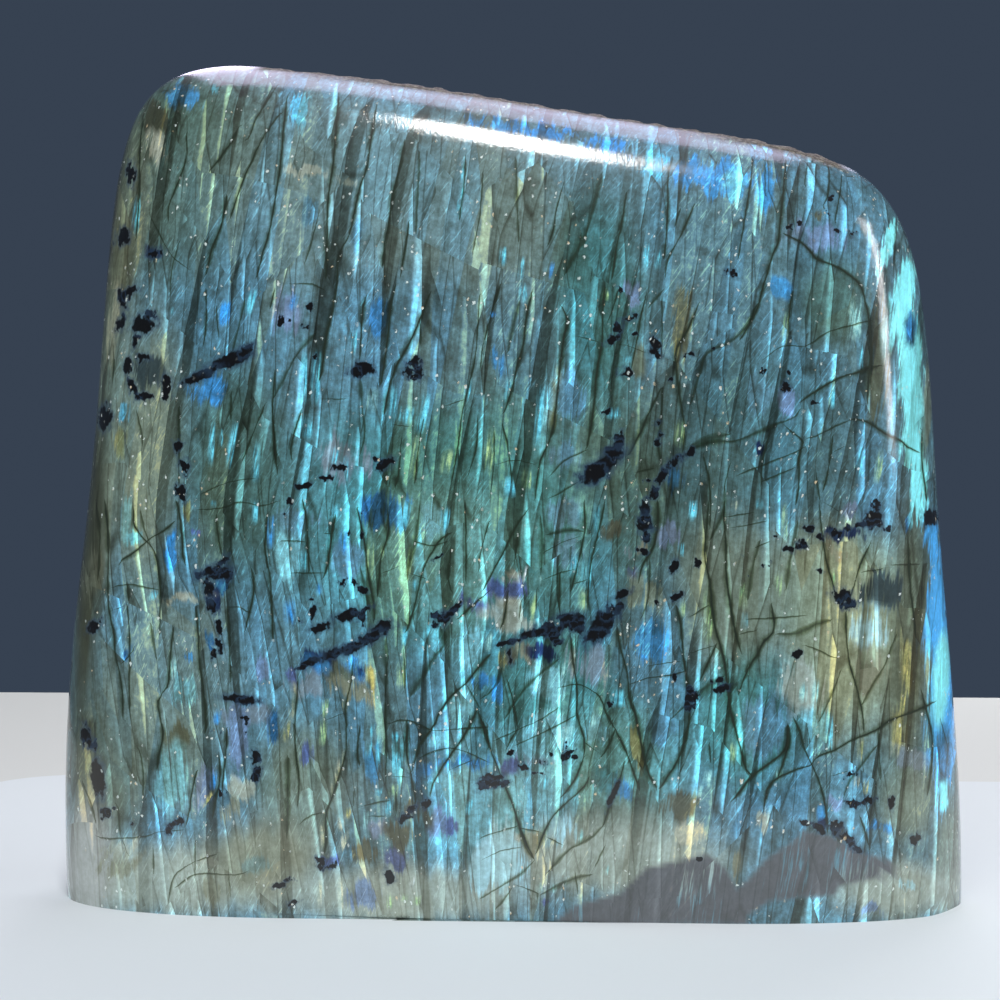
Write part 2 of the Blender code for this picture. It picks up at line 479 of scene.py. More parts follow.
# %% Patches on the front, large ones first
FRONT_GROUND = "steel"
FRONT_PATCHES = (
    ("green_teal", 170, 160, 90, 110, 0), ("olive", 122, 230, 26, 130, 8),
    ("olive", 98, 470, 22, 200, 4), ("grey_green", 145, 440, 45, 120, 0),
    ("green_teal", 235, 470, 50, 110, 0), ("teal", 460, 520, 170, 130, 0),
    ("haze", 400, 200, 200, 110, 0), ("steel", 400, 340, 120, 60, 0),
    ("green_teal", 640, 380, 90, 170, -6), ("teal", 600, 300, 40, 90, -6),
    ("steel", 760, 240, 110, 80, 0), ("steel", 712, 370, 70, 90, 0),
    ("green_teal", 832, 302, 34, 44, 0), ("dusk_steel", 750, 440, 90, 90, 0),
    ("sage", 830, 590, 70, 60, 0), ("sage", 850, 640, 70, 90, 0), ("olive", 908, 640, 20, 160, 3),
    ("grey_green", 730, 600, 60, 80, 0), ("teal", 745, 720, 60, 60, 0), ("fern", 450, 560, 80, 70, 0),
    ("teal", 560, 690, 90, 70, 0), ("steel", 650, 650, 40, 60, 0), ("fern", 610, 770, 70, 60, 0),
    ("aqua", 470, 800, 80, 60, 0), ("steel", 390, 760, 60, 70, 0), ("olive", 105, 770, 40, 90, 0),
    ("haze", 180, 690, 70, 90, 0), ("grey_green", 300, 790, 50, 60, 0),
    # Along the foot, below about y 850, the pale_green, tan, silver and grey_green patches are partly the
    # stone's paler tone and partly a painted reflection of the pale sheet.
    ("grey_green", 620, 825, 60, 24, 0), ("pale_green", 170, 880, 110, 36, 0),
    ("tan", 265, 860, 60, 40, 0), ("pale_green", 400, 895, 120, 30, 0),
    ("pale_green", 620, 860, 110, 36, 0), ("silver", 88, 865, 24, 60, 0),
    ("grey_green", 905, 800, 30, 40, 0), ("grey_green", 948, 860, 14, 60, 0),
    ("pale_green", 895, 890, 60, 26, 0), ("dark_olive", 90, 560, 11, 180, 4),
)

# %% Plates and flashes on the front
FRONT_FLASHES = (
    ("azure", 182, 96, 16, 9, 0), ("cyan", 214, 86, 5, 4, 0), ("dark_olive", 155, 120, 12, 20, 0),
    ("cream", 156, 151, 9, 13, 0), ("cyan", 300, 108, 8, 15, 8), ("steel", 310, 214, 8, 14, 0),
    ("steel", 358, 235, 9, 22, 8), ("pale_green", 305, 171, 20, 5, 0),
    ("pale_green", 349, 181, 12, 5, 0), ("lavender", 815, 238, 32, 16, 0),
    ("steel", 787, 280, 13, 33, 4), ("brown", 819, 214, 8, 6, 0), ("navy", 153, 254, 9, 5, 0),
    ("tan", 112, 330, 7, 50, 6), ("azure", 226, 312, 8, 14, 8), ("lavender", 288, 315, 16, 22, 0),
    ("azure", 211, 390, 18, 16, 0), ("cyan", 123, 413, 6, 8, 0), ("gold", 120, 441, 7, 13, 0),
    ("dark", 150, 372, 16, 15, 0), ("steel", 343, 329, 15, 20, 0), ("azure", 378, 317, 8, 18, 6),
    ("steel", 454, 348, 16, 16, 0), ("lilac", 335, 460, 20, 24, 0), ("lilac", 368, 464, 7, 18, 0),
    ("deep_blue", 377, 508, 18, 20, 0), ("azure", 495, 362, 9, 13, 0), ("aqua", 553, 398, 6, 36, 6),
    ("gold", 555, 400, 3, 32, 6), ("steel", 573, 395, 14, 25, 4), ("steel", 562, 455, 16, 14, 0),
    ("steel", 651, 375, 12, 14, 0), ("lavender", 634, 292, 11, 12, 0), ("olive", 681, 330, 9, 42, 6),
    ("olive", 638, 360, 7, 20, 0), ("deep_blue", 672, 478, 10, 15, 0), ("azure", 676, 482, 4, 8, 0),
    ("lavender", 668, 535, 12, 12, 0), ("steel", 759, 392, 15, 22, 0), ("azure", 780, 288, 10, 8, 0),
    ("lavender", 787, 400, 9, 14, 0), ("navy", 760, 446, 5, 7, 0), ("olive", 883, 360, 13, 80, 3),
    ("lavender", 850, 512, 10, 9, 0), ("navy", 845, 534, 22, 7, -4), ("deep_blue", 909, 524, 5, 10, 0),
    ("tan", 836, 552, 14, 7, 30), ("dark", 880, 592, 24, 20, -20), ("pale_aqua", 864, 634, 17, 22, 0),
    ("tan", 867, 670, 17, 18, 0), ("pale_green", 800, 690, 20, 26, 0), ("aqua", 817, 734, 16, 20, 0),
    ("steel", 764, 728, 22, 30, 0), ("lavender", 917, 760, 14, 10, 0), ("gold", 908, 665, 3, 26, -4),
    ("gold", 899, 738, 3, 22, -3), ("aqua", 127, 521, 6, 21, 0), ("cyan", 133, 541, 6, 6, 0),
    ("azure", 171, 538, 4, 8, 20), ("azure", 170, 558, 7, 10, 0), ("brown", 96, 570, 12, 30, 0),
    ("gold", 188, 511, 4, 11, 0), ("violet", 196, 531, 6, 5, 0), ("deep_blue", 225, 585, 9, 7, 0),
    ("navy", 212, 600, 7, 12, 0), ("deep_blue", 209, 640, 6, 11, 0), ("cream", 186, 597, 19, 4, -4),
    ("deep_blue", 121, 654, 6, 8, 0), ("azure", 189, 657, 8, 6, 0), ("lavender", 262, 671, 7, 12, 0),
    ("aqua", 188, 690, 14, 17, 0), ("lilac", 248, 715, 24, 10, 0), ("azure", 402, 514, 9, 15, 8),
    ("deep_blue", 381, 513, 10, 15, 0), ("aqua", 434, 520, 13, 18, 8), ("steel", 349, 560, 18, 18, 0),
    ("aqua", 290, 555, 14, 24, 0), ("steel", 298, 520, 20, 12, 0), ("navy", 333, 666, 36, 9, 20),
    ("deep_blue", 330, 672, 30, 7, 20), ("azure", 352, 660, 6, 7, 0), ("azure", 323, 668, 5, 8, 0),
    ("lilac", 308, 686, 20, 11, 0), ("violet", 291, 674, 6, 7, 0), ("olive", 340, 678, 10, 11, 0),
    ("tan", 352, 692, 20, 9, 20), ("gold", 372, 676, 4, 12, 0), ("violet", 478, 607, 18, 9, 30),
    ("aqua", 472, 645, 13, 24, 12), ("aqua", 462, 705, 12, 15, 0), ("azure", 481, 680, 9, 8, 0),
    ("violet", 500, 593, 17, 10, 20), ("violet", 521, 588, 9, 9, 0), ("cream", 512, 575, 8, 4, 10),
    ("cream", 509, 605, 12, 6, 10), ("pale_green", 512, 621, 26, 11, 10),
    ("steel", 561, 514, 19, 14, 0), ("teal", 530, 553, 11, 20, 0), ("steel", 566, 556, 17, 18, 0),
    ("violet", 631, 573, 8, 10, 0), ("lilac", 628, 552, 6, 8, 0), ("brown", 616, 530, 13, 10, 0),
    ("tan", 643, 550, 7, 8, 0), ("azure", 650, 640, 16, 20, 0), ("aqua", 545, 682, 20, 17, 20),
    ("violet", 668, 708, 8, 5, 0), ("lavender", 667, 535, 11, 10, 0), ("lilac", 588, 664, 18, 20, 0),
    ("grey_green", 640, 594, 22, 16, 0), ("tan", 526, 651, 12, 11, 30), ("navy", 543, 652, 13, 8, 20),
    ("brown", 511, 658, 5, 9, 0), ("gold", 501, 657, 3, 11, 0), ("azure", 496, 690, 7, 14, 0),
    ("azure", 374, 762, 9, 17, 6), ("cyan", 399, 753, 8, 25, 6), ("azure", 425, 778, 10, 18, 12),
    ("aqua", 436, 741, 9, 8, 0), ("azure", 466, 763, 22, 8, -4), ("aqua", 455, 785, 24, 13, 0),
    ("lavender", 439, 823, 11, 14, 0), ("violet", 399, 858, 11, 12, 0),
    ("pale_aqua", 480, 868, 13, 22, 0), ("lavender", 364, 895, 14, 13, 0),
    ("violet", 306, 756, 7, 11, 0), ("deep_blue", 274, 726, 5, 16, 0), ("lavender", 375, 828, 10, 8, 0),
    ("brown", 416, 812, 15, 11, 30), ("brown", 401, 834, 15, 12, 30), ("brown", 365, 852, 12, 12, 20),
    ("violet", 330, 861, 13, 5, 12), ("violet", 452, 826, 6, 9, 0), ("violet", 511, 766, 10, 9, 20),
    ("lilac", 543, 757, 21, 8, 6), ("pale_aqua", 503, 856, 23, 30, 0),
    ("pale_aqua", 560, 828, 17, 15, 20), ("aqua", 528, 791, 20, 11, 10), ("teal", 606, 775, 13, 15, 0),
    ("steel", 665, 727, 15, 18, 0), ("azure", 625, 791, 9, 12, 0), ("aqua", 598, 732, 13, 13, 0),
    ("aqua", 545, 732, 24, 20, 10), ("gold", 638, 756, 6, 32, -14), ("brown", 675, 805, 24, 13, 0),
    ("cream", 690, 834, 14, 10, 0), ("tan", 531, 842, 9, 12, 0), ("cream", 520, 838, 5, 4, 0),
    ("azure", 820, 812, 6, 11, 0), ("navy", 822, 826, 7, 6, 0), ("lavender", 834, 802, 8, 6, 0),
    ("azure", 878, 827, 12, 5, 0), ("lavender", 870, 907, 10, 5, 0), ("pale_aqua", 907, 886, 12, 6, 0),
    ("cream", 761, 820, 7, 12, 0), ("tan", 738, 868, 6, 20, 0), ("lilac", 911, 760, 16, 10, 0),
    ("dark_olive", 838, 832, 7, 10, 0), ("violet", 546, 903, 6, 4, 0), ("tan", 230, 812, 10, 14, 0),
    ("cream", 242, 788, 13, 9, 0), ("cream", 122, 849, 20, 7, 0), ("lavender", 238, 738, 9, 28, 0),
    ("olive", 178, 738, 14, 13, 0), ("aqua", 170, 785, 16, 30, 8), ("lavender", 205, 785, 10, 22, 8),
    ("dark_olive", 88, 735, 7, 18, -12), ("tan", 214, 892, 13, 15, 0), ("cream", 210, 862, 8, 5, 0),
    ("tan", 118, 868, 24, 9, 0), ("grey_green", 254, 865, 16, 7, 0),
    ("vivid_azure", 522, 130, 48, 9, 7), ("vivid_azure", 606, 146, 22, 8, 7),
    ("cyan", 658, 163, 14, 13, 0), ("vivid_azure", 690, 172, 15, 15, 6),
    ("vivid_azure", 724, 180, 26, 18, 8), ("cyan", 734, 184, 8, 12, 0),
    ("vivid_azure", 768, 188, 10, 24, 6),
)

# %% The long flash down the right-hand edge
EDGE_FLASHES = (
    ("bright_cyan", 888, 245, 6, 26, 14), ("bright_cyan", 903, 300, 10, 40, 8),
    ("bright_cyan", 911, 365, 10, 50, 2), ("bright_cyan", 914, 430, 10, 44, 1),
    ("bright_cyan", 920, 490, 9, 34, 0), ("deep_blue", 911, 328, 4, 14, 0),
    ("bright_azure", 931, 540, 7, 20, 0), ("bright_azure", 936, 600, 10, 54, 4),
    ("bright_azure", 941, 680, 10, 64, 4), ("bright_azure", 946, 755, 8, 48, 3),
    ("bright_cyan", 941, 680, 6, 34, 4), ("azure", 944, 755, 5, 22, 2),
    ("bright_cyan", 944, 797, 5, 12, 0), ("grey_green", 928, 400, 4, 46, 2),
)
print("patches:", len(FRONT_PATCHES) + len(FRONT_FLASHES) + len(EDGE_FLASHES))

# %% Tear the patches' edges and lay them over each other
TEAR = 2.6
PATCH_EDGE = (0.5, 1.5)
FLASH_EDGE = (1.1, 1.7)
SURE_UP_TO, LIKELY_UP_TO = 0.45, 1.45
MOST_LIKELY = 0.85


def torn(spots):
    """Moves map places a few pixels to and fro, more across the plates than along them."""
    x, y = spots.T
    shift = np.sin(x / 5.3 + 1.7 * np.sin(y / 31)) + 0.7 * np.sin(x / 2.9 + y / 47 + 2.0 * np.sin(y / 17))
    slide = np.sin(x / 4.1 + 1.1) + 0.8 * np.sin(x / 2.3 + np.sin(y / 23))
    return np.stack((x + TEAR * 0.25 * shift, y + TEAR * slide), axis=1)


def in_patch(spots, patch, margin):
    """Which places are near an ellipse, and how far out in it they lie: 0 in its middle, 1 on its edge."""
    _, x, y, half_width, half_height, lean = patch
    off = spots - (x, y)
    near = (np.abs(off) < (half_width + half_height) * margin).all(axis=1)
    off = off[near]
    cos, sin = math.cos(math.radians(lean)), math.sin(math.radians(lean))
    across = (off[:, 0] * cos + off[:, 1] * sin) / half_width
    along = (off[:, 1] * cos - off[:, 0] * sin) / half_height
    return near, np.hypot(across, along)


def tone_of(name):
    colour, brilliance = TONES[name]
    return np.append(seen_colour(colour), brilliance)


def ground_tone(name, count):
    return np.tile(tone_of(name), (count, 1))


def lay_patches(tone, spots, patches):
    """Blends each patch, an ellipse (tone, x, y, half width, half height, lean), over the tones so far."""
    for patch in patches:
        near, reach = in_patch(spots, patch, 1.4)
        cover = 1 - rise(reach, *PATCH_EDGE)
        tone[near] += (tone_of(patch[0]) - tone[near]) * cover[:, None]
    return tone


def lay_flashes(under, spots, patches, sure=0.0):
    """Patches whose outline follows the plates: their tone, and how likely a plate is to show it."""
    tone, likely = under.copy(), np.zeros(len(under))
    for patch in patches:
        near, reach = in_patch(spots, patch, 1.8)
        cover = 1 - rise(reach, *FLASH_EDGE)
        tone[near] += (tone_of(patch[0]) - tone[near]) * cover[:, None]
        chance_here = (1 - rise(reach, SURE_UP_TO + sure, LIKELY_UP_TO)) * (MOST_LIKELY + sure)
        likely[near] += (1 - likely[near]) * chance_here
    return tone, np.clip(likely, 0, 1)


torn_front = torn(front_map)
front_tone = lay_patches(ground_tone(FRONT_GROUND, len(places)), torn_front, FRONT_PATCHES)
front_flash, front_likely = lay_flashes(front_tone, torn_front, FRONT_FLASHES)
edge_flash, edge_likely = lay_flashes(front_flash, front_map, EDGE_FLASHES, 0.15)
front_likely = np.maximum(front_likely, edge_likely)
front_flash = edge_flash

# %% The slate corner, a painted dark reflection in the polish over stone without flash, with a sharp outline
SLATE_REFLECTION_OUTLINE = (
    "550,925 575,905 620,893 645,868 690,858 707,854 725,867 737,888 748,879 767,858 795,839 "
    "803,830 830,835 862,852 883,858 897,861 892,874 865,881 839,886 835,895 812,897 769,902 "
    "748,916 748,925"
)
OUTLINE_SOFTNESS = 3.0


def inside_outline(spots, text):
    """1 inside a closed outline, 0 outside, and a short fade across its edge."""
    corners = np.array([[float(n) for n in pair.split(",")] for pair in text.split()])
    nearest, crossings = np.full(len(spots), 1e9), np.zeros(len(spots), dtype=int)
    for start, end in zip(corners, np.roll(corners, -1, axis=0)):
        run, off = end - start, spots - start
        reach = np.clip(off @ run / (run @ run), 0, 1)
        nearest = np.minimum(nearest, np.hypot(*(off - reach[:, None] * run).T))
        level = (start[1] > spots[:, 1]) != (end[1] > spots[:, 1])
        crossings += level & (off[:, 0] < run[0] * off[:, 1] / (run[1] if run[1] else 1.0))
    return rise(np.where(crossings % 2, nearest, -nearest), -OUTLINE_SOFTNESS, OUTLINE_SOFTNESS)


# Paints the dark reflection in slate grey and takes the flash out under it.
slate_reflection_share = inside_outline(front_map, SLATE_REFLECTION_OUTLINE)
front_tone += (ground_tone("slate", len(places)) - front_tone) * slate_reflection_share[:, None]
front_likely *= 1 - slate_reflection_share

# %% [markdown]
# ## The rest of the surface
#
# Nobody has photographed the back or the ends, but they are cut from the same rock, so they get tones,
# cracks and dark grains by the same rules, drawn by lot. The lot is seeded, so it falls the same each time.

# %% Draw patches for the back and the rim
chance = np.random.default_rng(38)
BACK_TONES = (
    "steel", "teal", "azure", "aqua", "grey_green", "olive", "deep_blue", "lavender", "cyan", "tan",
)


def chance_patches(count, x_range, y_range, widths, heights):
    patches = []
    for _ in range(count):
        name = BACK_TONES[int(chance.integers(len(BACK_TONES)))]
        x, y = chance.uniform(*x_range), chance.uniform(*y_range)
        size = chance.uniform(0.4, 1)
        half_width = size * chance.uniform(*widths)
        half_height = size * chance.uniform(*heights)
        patches.append((name, x, y, half_width, half_height, chance.uniform(0, 14)))
    return patches


BACK_SPAN_X, BACK_SPAN_Y = (70, 960), (60, 900)
RIM_SPAN_X, RIM_SPAN_Y = (-1370, 1370), (-140, 140)
back_patches = chance_patches(40, BACK_SPAN_X, BACK_SPAN_Y, (60, 110), (80, 150))
back_flashes = chance_patches(260, BACK_SPAN_X, BACK_SPAN_Y, (8, 24), (14, 50))
rim_patches = chance_patches(40, RIM_SPAN_X, RIM_SPAN_Y, (60, 140), (30, 90))
rim_flashes = chance_patches(160, RIM_SPAN_X, RIM_SPAN_Y, (10, 40), (8, 26))
back_tone = lay_patches(ground_tone("teal", len(places)), torn(back_map), back_patches)
rim_tone = lay_patches(ground_tone("green_teal", len(places)), rim_map, rim_patches)
back_flash, back_likely = lay_flashes(back_tone, torn(back_map), back_flashes)
rim_flash, rim_likely = lay_flashes(rim_tone, rim_map, rim_flashes)
print("back and rim patches:", len(back_patches + back_flashes), len(rim_patches + rim_flashes))


def all_round(front, rim, back):
    """One value for each point from its values on the three maps."""
    total = 0
    for values, share in ((front, front_share), (rim, rim_share), (back, back_share)):
        total = total + values * share.reshape(-1, *[1] * (values.ndim - 1))
    return total


stone_tone = all_round(front_tone, rim_tone, back_tone)
stone_flash = all_round(front_flash, rim_flash, back_flash)
flash_likely = all_round(front_likely, rim_likely, back_likely)
stone_tone[:, 3] += (stone_flash[:, 3] - stone_tone[:, 3]) * flash_likely
stone_flash[:, 3] = flash_likely


def keep_on_points(name, kind, values, where="POINT"):
    """Stores one value for each point or corner of the mesh, for the shader to read."""
    layer = stone_mesh.attributes.new(name, kind, where)
    field = {"FLOAT": "value", "FLOAT_VECTOR": "vector", "FLOAT_COLOR": "color"}[kind]
    layer.data.foreach_set(field, np.ascontiguousarray(values, dtype=np.float32).ravel())


keep_on_points("tone", "FLOAT_COLOR", stone_tone)
keep_on_points("flash", "FLOAT_COLOR", stone_flash)

# %% [markdown]
# ## Cracks, bright splinters and dark grains
#
# These are thinner than the mesh's faces, so their colour can't be painted on the points. What is kept
# instead, at each corner of each face, is how far that corner is from the middle of the nearest crack,
# with a sign for the side that it is on. Between corners such a distance runs straight, so the shader can
# draw a line far thinner than a face, at exactly the right place.

# %% Dark cracks on the front: width, then the places it runs through
DARK_CRACKS = (
    (2.5, "278,84 256,119 249,139"), (3, "280,113 262,139 252,161 242,183 230,219"),
    (3, "240,125 228,147 209,172"), (3, "186,133 187,155 178,183 169,205 168,223"),
    (3, "144,113 140,147 139,200 136,241"), (5, "227,195 221,226 212,249 206,275"),
    (4, "288,92 284,123 280,167 270,228 262,256 256,279"),
    (5, "339,95 336,130 333,164 328,200 327,242 326,279"),
    (5, "377,103 371,139 367,167 360,186 354,214 349,235"),
    (4, "349,235 339,256 337,283 333,308 326,339 322,370 319,381"),
    (5, "405,139 399,172 393,193 389,221 385,242 382,268"), (2.5, "409,221 405,249 400,279"),
    (3, "466,150 464,186 459,221"), (3.5, "564,182 556,211 553,231 547,247"),
    (4, "627,190 622,221 616,249 612,280"), (4, "674,155 668,175 668,200 667,228 664,259"),
    (3, "695,203 681,235 668,259 665,279"), (3, "753,158 750,186 743,229 738,259"),
    (5, "786,160 784,183 780,223 778,243 773,254 763,287 756,312 740,340"),
    (4, "823,156 829,170 828,196 823,206"), (3, "842,176 839,199 834,223"),
    (4.5, "783,233 806,246 816,259 831,264 848,274 861,286 864,296 869,320 871,350 869,373 867,403"),
    (3, "206,288 206,326 203,347"), (3, "275,288 270,309"), (3, "275,370 273,406 276,462"),
    (3, "266,402 248,446 242,462"), (3, "231,392 231,420"), (3, "179,406 179,441 179,486"),
    (2.5, "113,343 114,367 112,385"), (5, "367,294 363,308 361,336 360,359"),
    (5, "396,284 391,304 388,336 384,364 381,385"),
    (5, "431,291 420,319 410,342 396,367 388,392 384,415"),
    (3, "480,294 478,322 475,359 466,396 462,415 458,446 451,483"),
    (3, "302,409 295,430 291,448 292,462"), (3, "272,399 274,448 278,474"),
    (3, "402,434 399,469 395,488"), (3, "424,418 419,444 415,483"), (3, "478,415 476,448 468,476"),
    (3, "501,283 491,315 483,347 480,371"), (4, "532,291 526,319 523,346 516,370 512,389 504,413"),
    (5, "561,305 568,321 564,336 561,359 559,378 556,406 553,429 547,446 540,462 537,480 535,500"),
    (5, "605,283 603,308 602,342 598,364 595,392 592,420 587,448"), (3, "619,288 612,311 606,326"),
    (3, "647,291 641,316 637,340 631,370"),
    (4, "700,301 688,329 676,350 676,367 681,406 685,427 683,452"),
    (6, "661,388 648,415 641,431 629,455"), (4, "662,387 661,420 658,446 661,462"),
    (3, "502,423 508,448 512,484"), (3, "494,429 494,462 491,490"), (4, "793,290 789,316 789,336"),
    (4, "799,403 816,391 839,378 856,373 869,368 881,365"),
    (4, "849,419 866,421 881,431 889,436 902,441 906,446 920,453"),
    (3, "783,424 793,433 803,442 799,456 799,479 796,505"), (3, "833,434 829,466 823,492"),
    (4, "703,454 710,487 710,529"), (3, "922,429 922,462 925,487 927,502"),
    (4, "105,500 108,539 108,590 110,616 114,633 115,654 118,666 122,689 123,719"),
    (4, "133,500 134,525 140,535 151,546 157,560 160,584 160,612 160,635"),
    (4, "119,562 139,549 150,538 164,531 175,521"), (5, "176,500 179,511 182,535 183,556 186,567"),
    (3, "216,514 218,535 222,556"), (5, "127,584 128,594 129,601"),
    (3, "127,605 129,626 130,659 129,682 130,719"), (3, "136,647 127,659 118,665"),
    (4, "174,626 171,647 169,675 167,687 158,701 161,721 163,735 158,759 157,770"),
    (4, "196,605 198,633 199,654 200,668 203,687 206,719 205,735"),
    (4, "227,607 229,633 230,661 231,682"), (3, "251,567 254,584 252,601 247,622 245,632"),
    (4, "267,514 265,549 270,577 272,612 273,640"), (4, "302,500 306,515 307,531 308,553 309,573"),
    (4, "336,514 332,532 330,549 327,567 323,579"),
    (5, "357,508 361,525 365,546 367,567 371,591 374,604 374,621"),
    (4, "388,507 388,535 381,556 379,579 377,598"),
    (5, "452,532 441,539 434,549 424,567 419,587 413,612 406,632"),
    (3, "451,549 450,560 448,579 452,593"), (3, "465,500 466,535 466,556 466,584"),
    (3, "489,521 480,556 479,573"), (4, "458,619 471,607 490,590"),
    (6, "490,654 476,671 464,685 451,696 438,715 435,724 424,739 419,746 414,763 411,773"),
    (3, "403,647 405,668 405,689"), (3, "353,659 351,682 346,703 345,715"),
    (3, "298,673 297,696 295,721 296,756 299,777 298,807"),
    (5, "529,508 515,528 505,549 494,569 483,591"), (3, "518,535 514,566"),
    (3, "508,591 504,619 500,630"), (3, "522,598 519,619"), (3, "537,587 536,612"),
    (4, "584,500 585,528 581,549 577,567 571,591"),
    (3, "605,500 601,521 595,545 591,563 588,591 588,612"), (3, "560,572 559,598 560,612"),
    (5, "570,633 573,661 577,687 577,714 580,725 584,739 584,756"),
    (5, "617,626 620,647 627,673 629,696 634,712"),
    (5, "657,500 658,521 654,546 646,559 641,570 638,584"),
    (5, "676,605 681,626 683,654 686,675 689,696"), (3, "629,685 648,678 672,675 685,671"),
    (3, "557,688 577,684 589,689 599,695 603,703 606,714 615,729"),
    (5, "615,729 623,745 629,759 634,774 640,790"), (4, "507,680 512,696 514,708 518,728"),
    (6, "633,704 636,718 641,742 644,759 650,777 657,788"),
    (5, "690,704 689,722 683,746 676,764 668,776 660,788"), (5, "518,728 512,738 505,752"),
    (5, "625,759 620,779 613,795 608,811 603,826"), (3, "615,729 610,742 603,755 599,759"),
    (5, "584,756 578,773 570,787 560,798"), (5, "589,777 584,787 567,802 553,816 544,833 536,854"),
    (5, "480,718 487,738 493,756 501,776 507,791 514,808 519,826 528,847 535,860"),
    (5, "478,708 465,734 452,753 443,766 433,784 430,797"), (4, "478,711 485,731 489,749"),
    (4, "346,711 346,749 340,773 332,798 326,815 326,840 324,854"), (4, "360,725 357,756 360,765"),
    (4, "385,700 386,735 386,763 386,784"), (5, "407,720 407,756 410,770 414,791 416,804"),
    (3, "396,791 396,815"), (4, "219,753 220,777 216,798 212,819"),
    (4, "227,728 226,749 224,770 222,790"), (3, "197,770 192,791 189,812 186,826"),
    (6, "709,500 706,534 705,560 710,583 712,607 716,631 723,655 727,681 730,707 736,732 742,755 "
        "746,770 751,775"),
    (5, "725,500 724,514 726,552 726,572 729,596 733,620 737,638 742,655"),
    (5, "717,643 707,665 700,681"), (5, "771,603 774,620 773,633 764,641 757,655 748,669 738,695"),
    (4, "848,603 854,586 860,565 871,543"),
    (4, "846,610 846,634 848,651 850,665 857,689 862,712 864,732"),
    (4, "908,534 909,569 911,595 914,617 916,638"),
    (4, "936,701 922,708 905,715 890,720 878,729 862,736 850,741 835,750 817,757 811,765 795,770 "
        "772,782 765,798 764,812"),
    (5, "788,724 786,748 767,765 751,777 739,793 730,803"),
    (4, "793,717 800,732 804,748 813,767 820,784 825,805 828,833"),
    (3, "921,689 926,710 932,735 931,769 927,796"), (3, "860,816 865,832 869,846"),
    (3, "709,742 711,763"), (3, "819,500 822,534 826,560 831,577 835,593"),
    (4, "788,723 788,746 778,777"),
)

# %% Olive cracks on the front, softer and browner
OLIVE_CRACKS = (
    (3, "419,150 419,172 417,200 416,235"), (3, "516,155 517,200 519,242"),
    (6, "603,172 595,200 585,235 570,263 564,276"), (4, "316,333 298,353 284,378 273,399"),
    (4, "360,378 363,415 365,434 360,455"), (4, "665,288 648,308"),
    (3, "758,303 745,328 728,343 707,353 700,373 690,406"), (6, "690,446 711,438 731,434"),
    (6, "725,486 723,512 710,540"), (4, "690,449 712,442 735,441 756,433 780,423 796,416 801,408"),
    (3, "96,500 100,540 98,580"), (3, "140,508 144,528 151,546"), (3, "151,623 153,640 157,661"),
    (4, "420,503 417,528 414,546 409,563 407,579"), (6, "440,626 445,644 436,654 424,675 410,696"),
    (4, "466,684 480,708"), (5, "288,756 288,798 287,840"), (4, "386,637 386,668 386,687 385,700"),
    (5, "540,514 542,535 542,556 541,574"), (5, "559,659 543,671 526,687 515,701 505,719"),
    (4, "502,668 493,689 480,699"), (8, "690,701 705,688 724,676"),
    (4, "862,705 872,686 885,665 890,651 897,634"), (3, "841,670 835,686 826,707 819,722"),
    (6, "776,634 797,633 817,624 831,620"), (3, "878,729 879,750 881,779"),
    (4, "520,828 527,850 535,860"), (4, "603,826 589,839 570,849 558,861 546,874"),
    (4, "535,860 522,873 508,882 480,899"), (4, "512,888 502,902 495,910"),
    (4, "540,895 553,888 575,878 592,875"), (3, "595,867 601,854 606,844"),
    (4, "360,565 365,590 371,612"), (3, "139,749 143,770 143,798"), (3, "82,781 92,807 96,823"),
    (4, "354,791 353,808"), (3, "118,805 120,836"), (5, "546,535 570,530 584,532"),
    (4, "878,744 860,767 848,784 844,798"), (5, "700,690 690,701 670,720"),
    (4, "245,300 238,330 232,352"), (4, "520,300 512,330 508,352"), (3, "180,240 172,270 170,300"),
    (4, "650,560 648,600 640,620"), (4, "760,540 752,570 748,600"), (4, "798,520 790,560 786,590"),
)

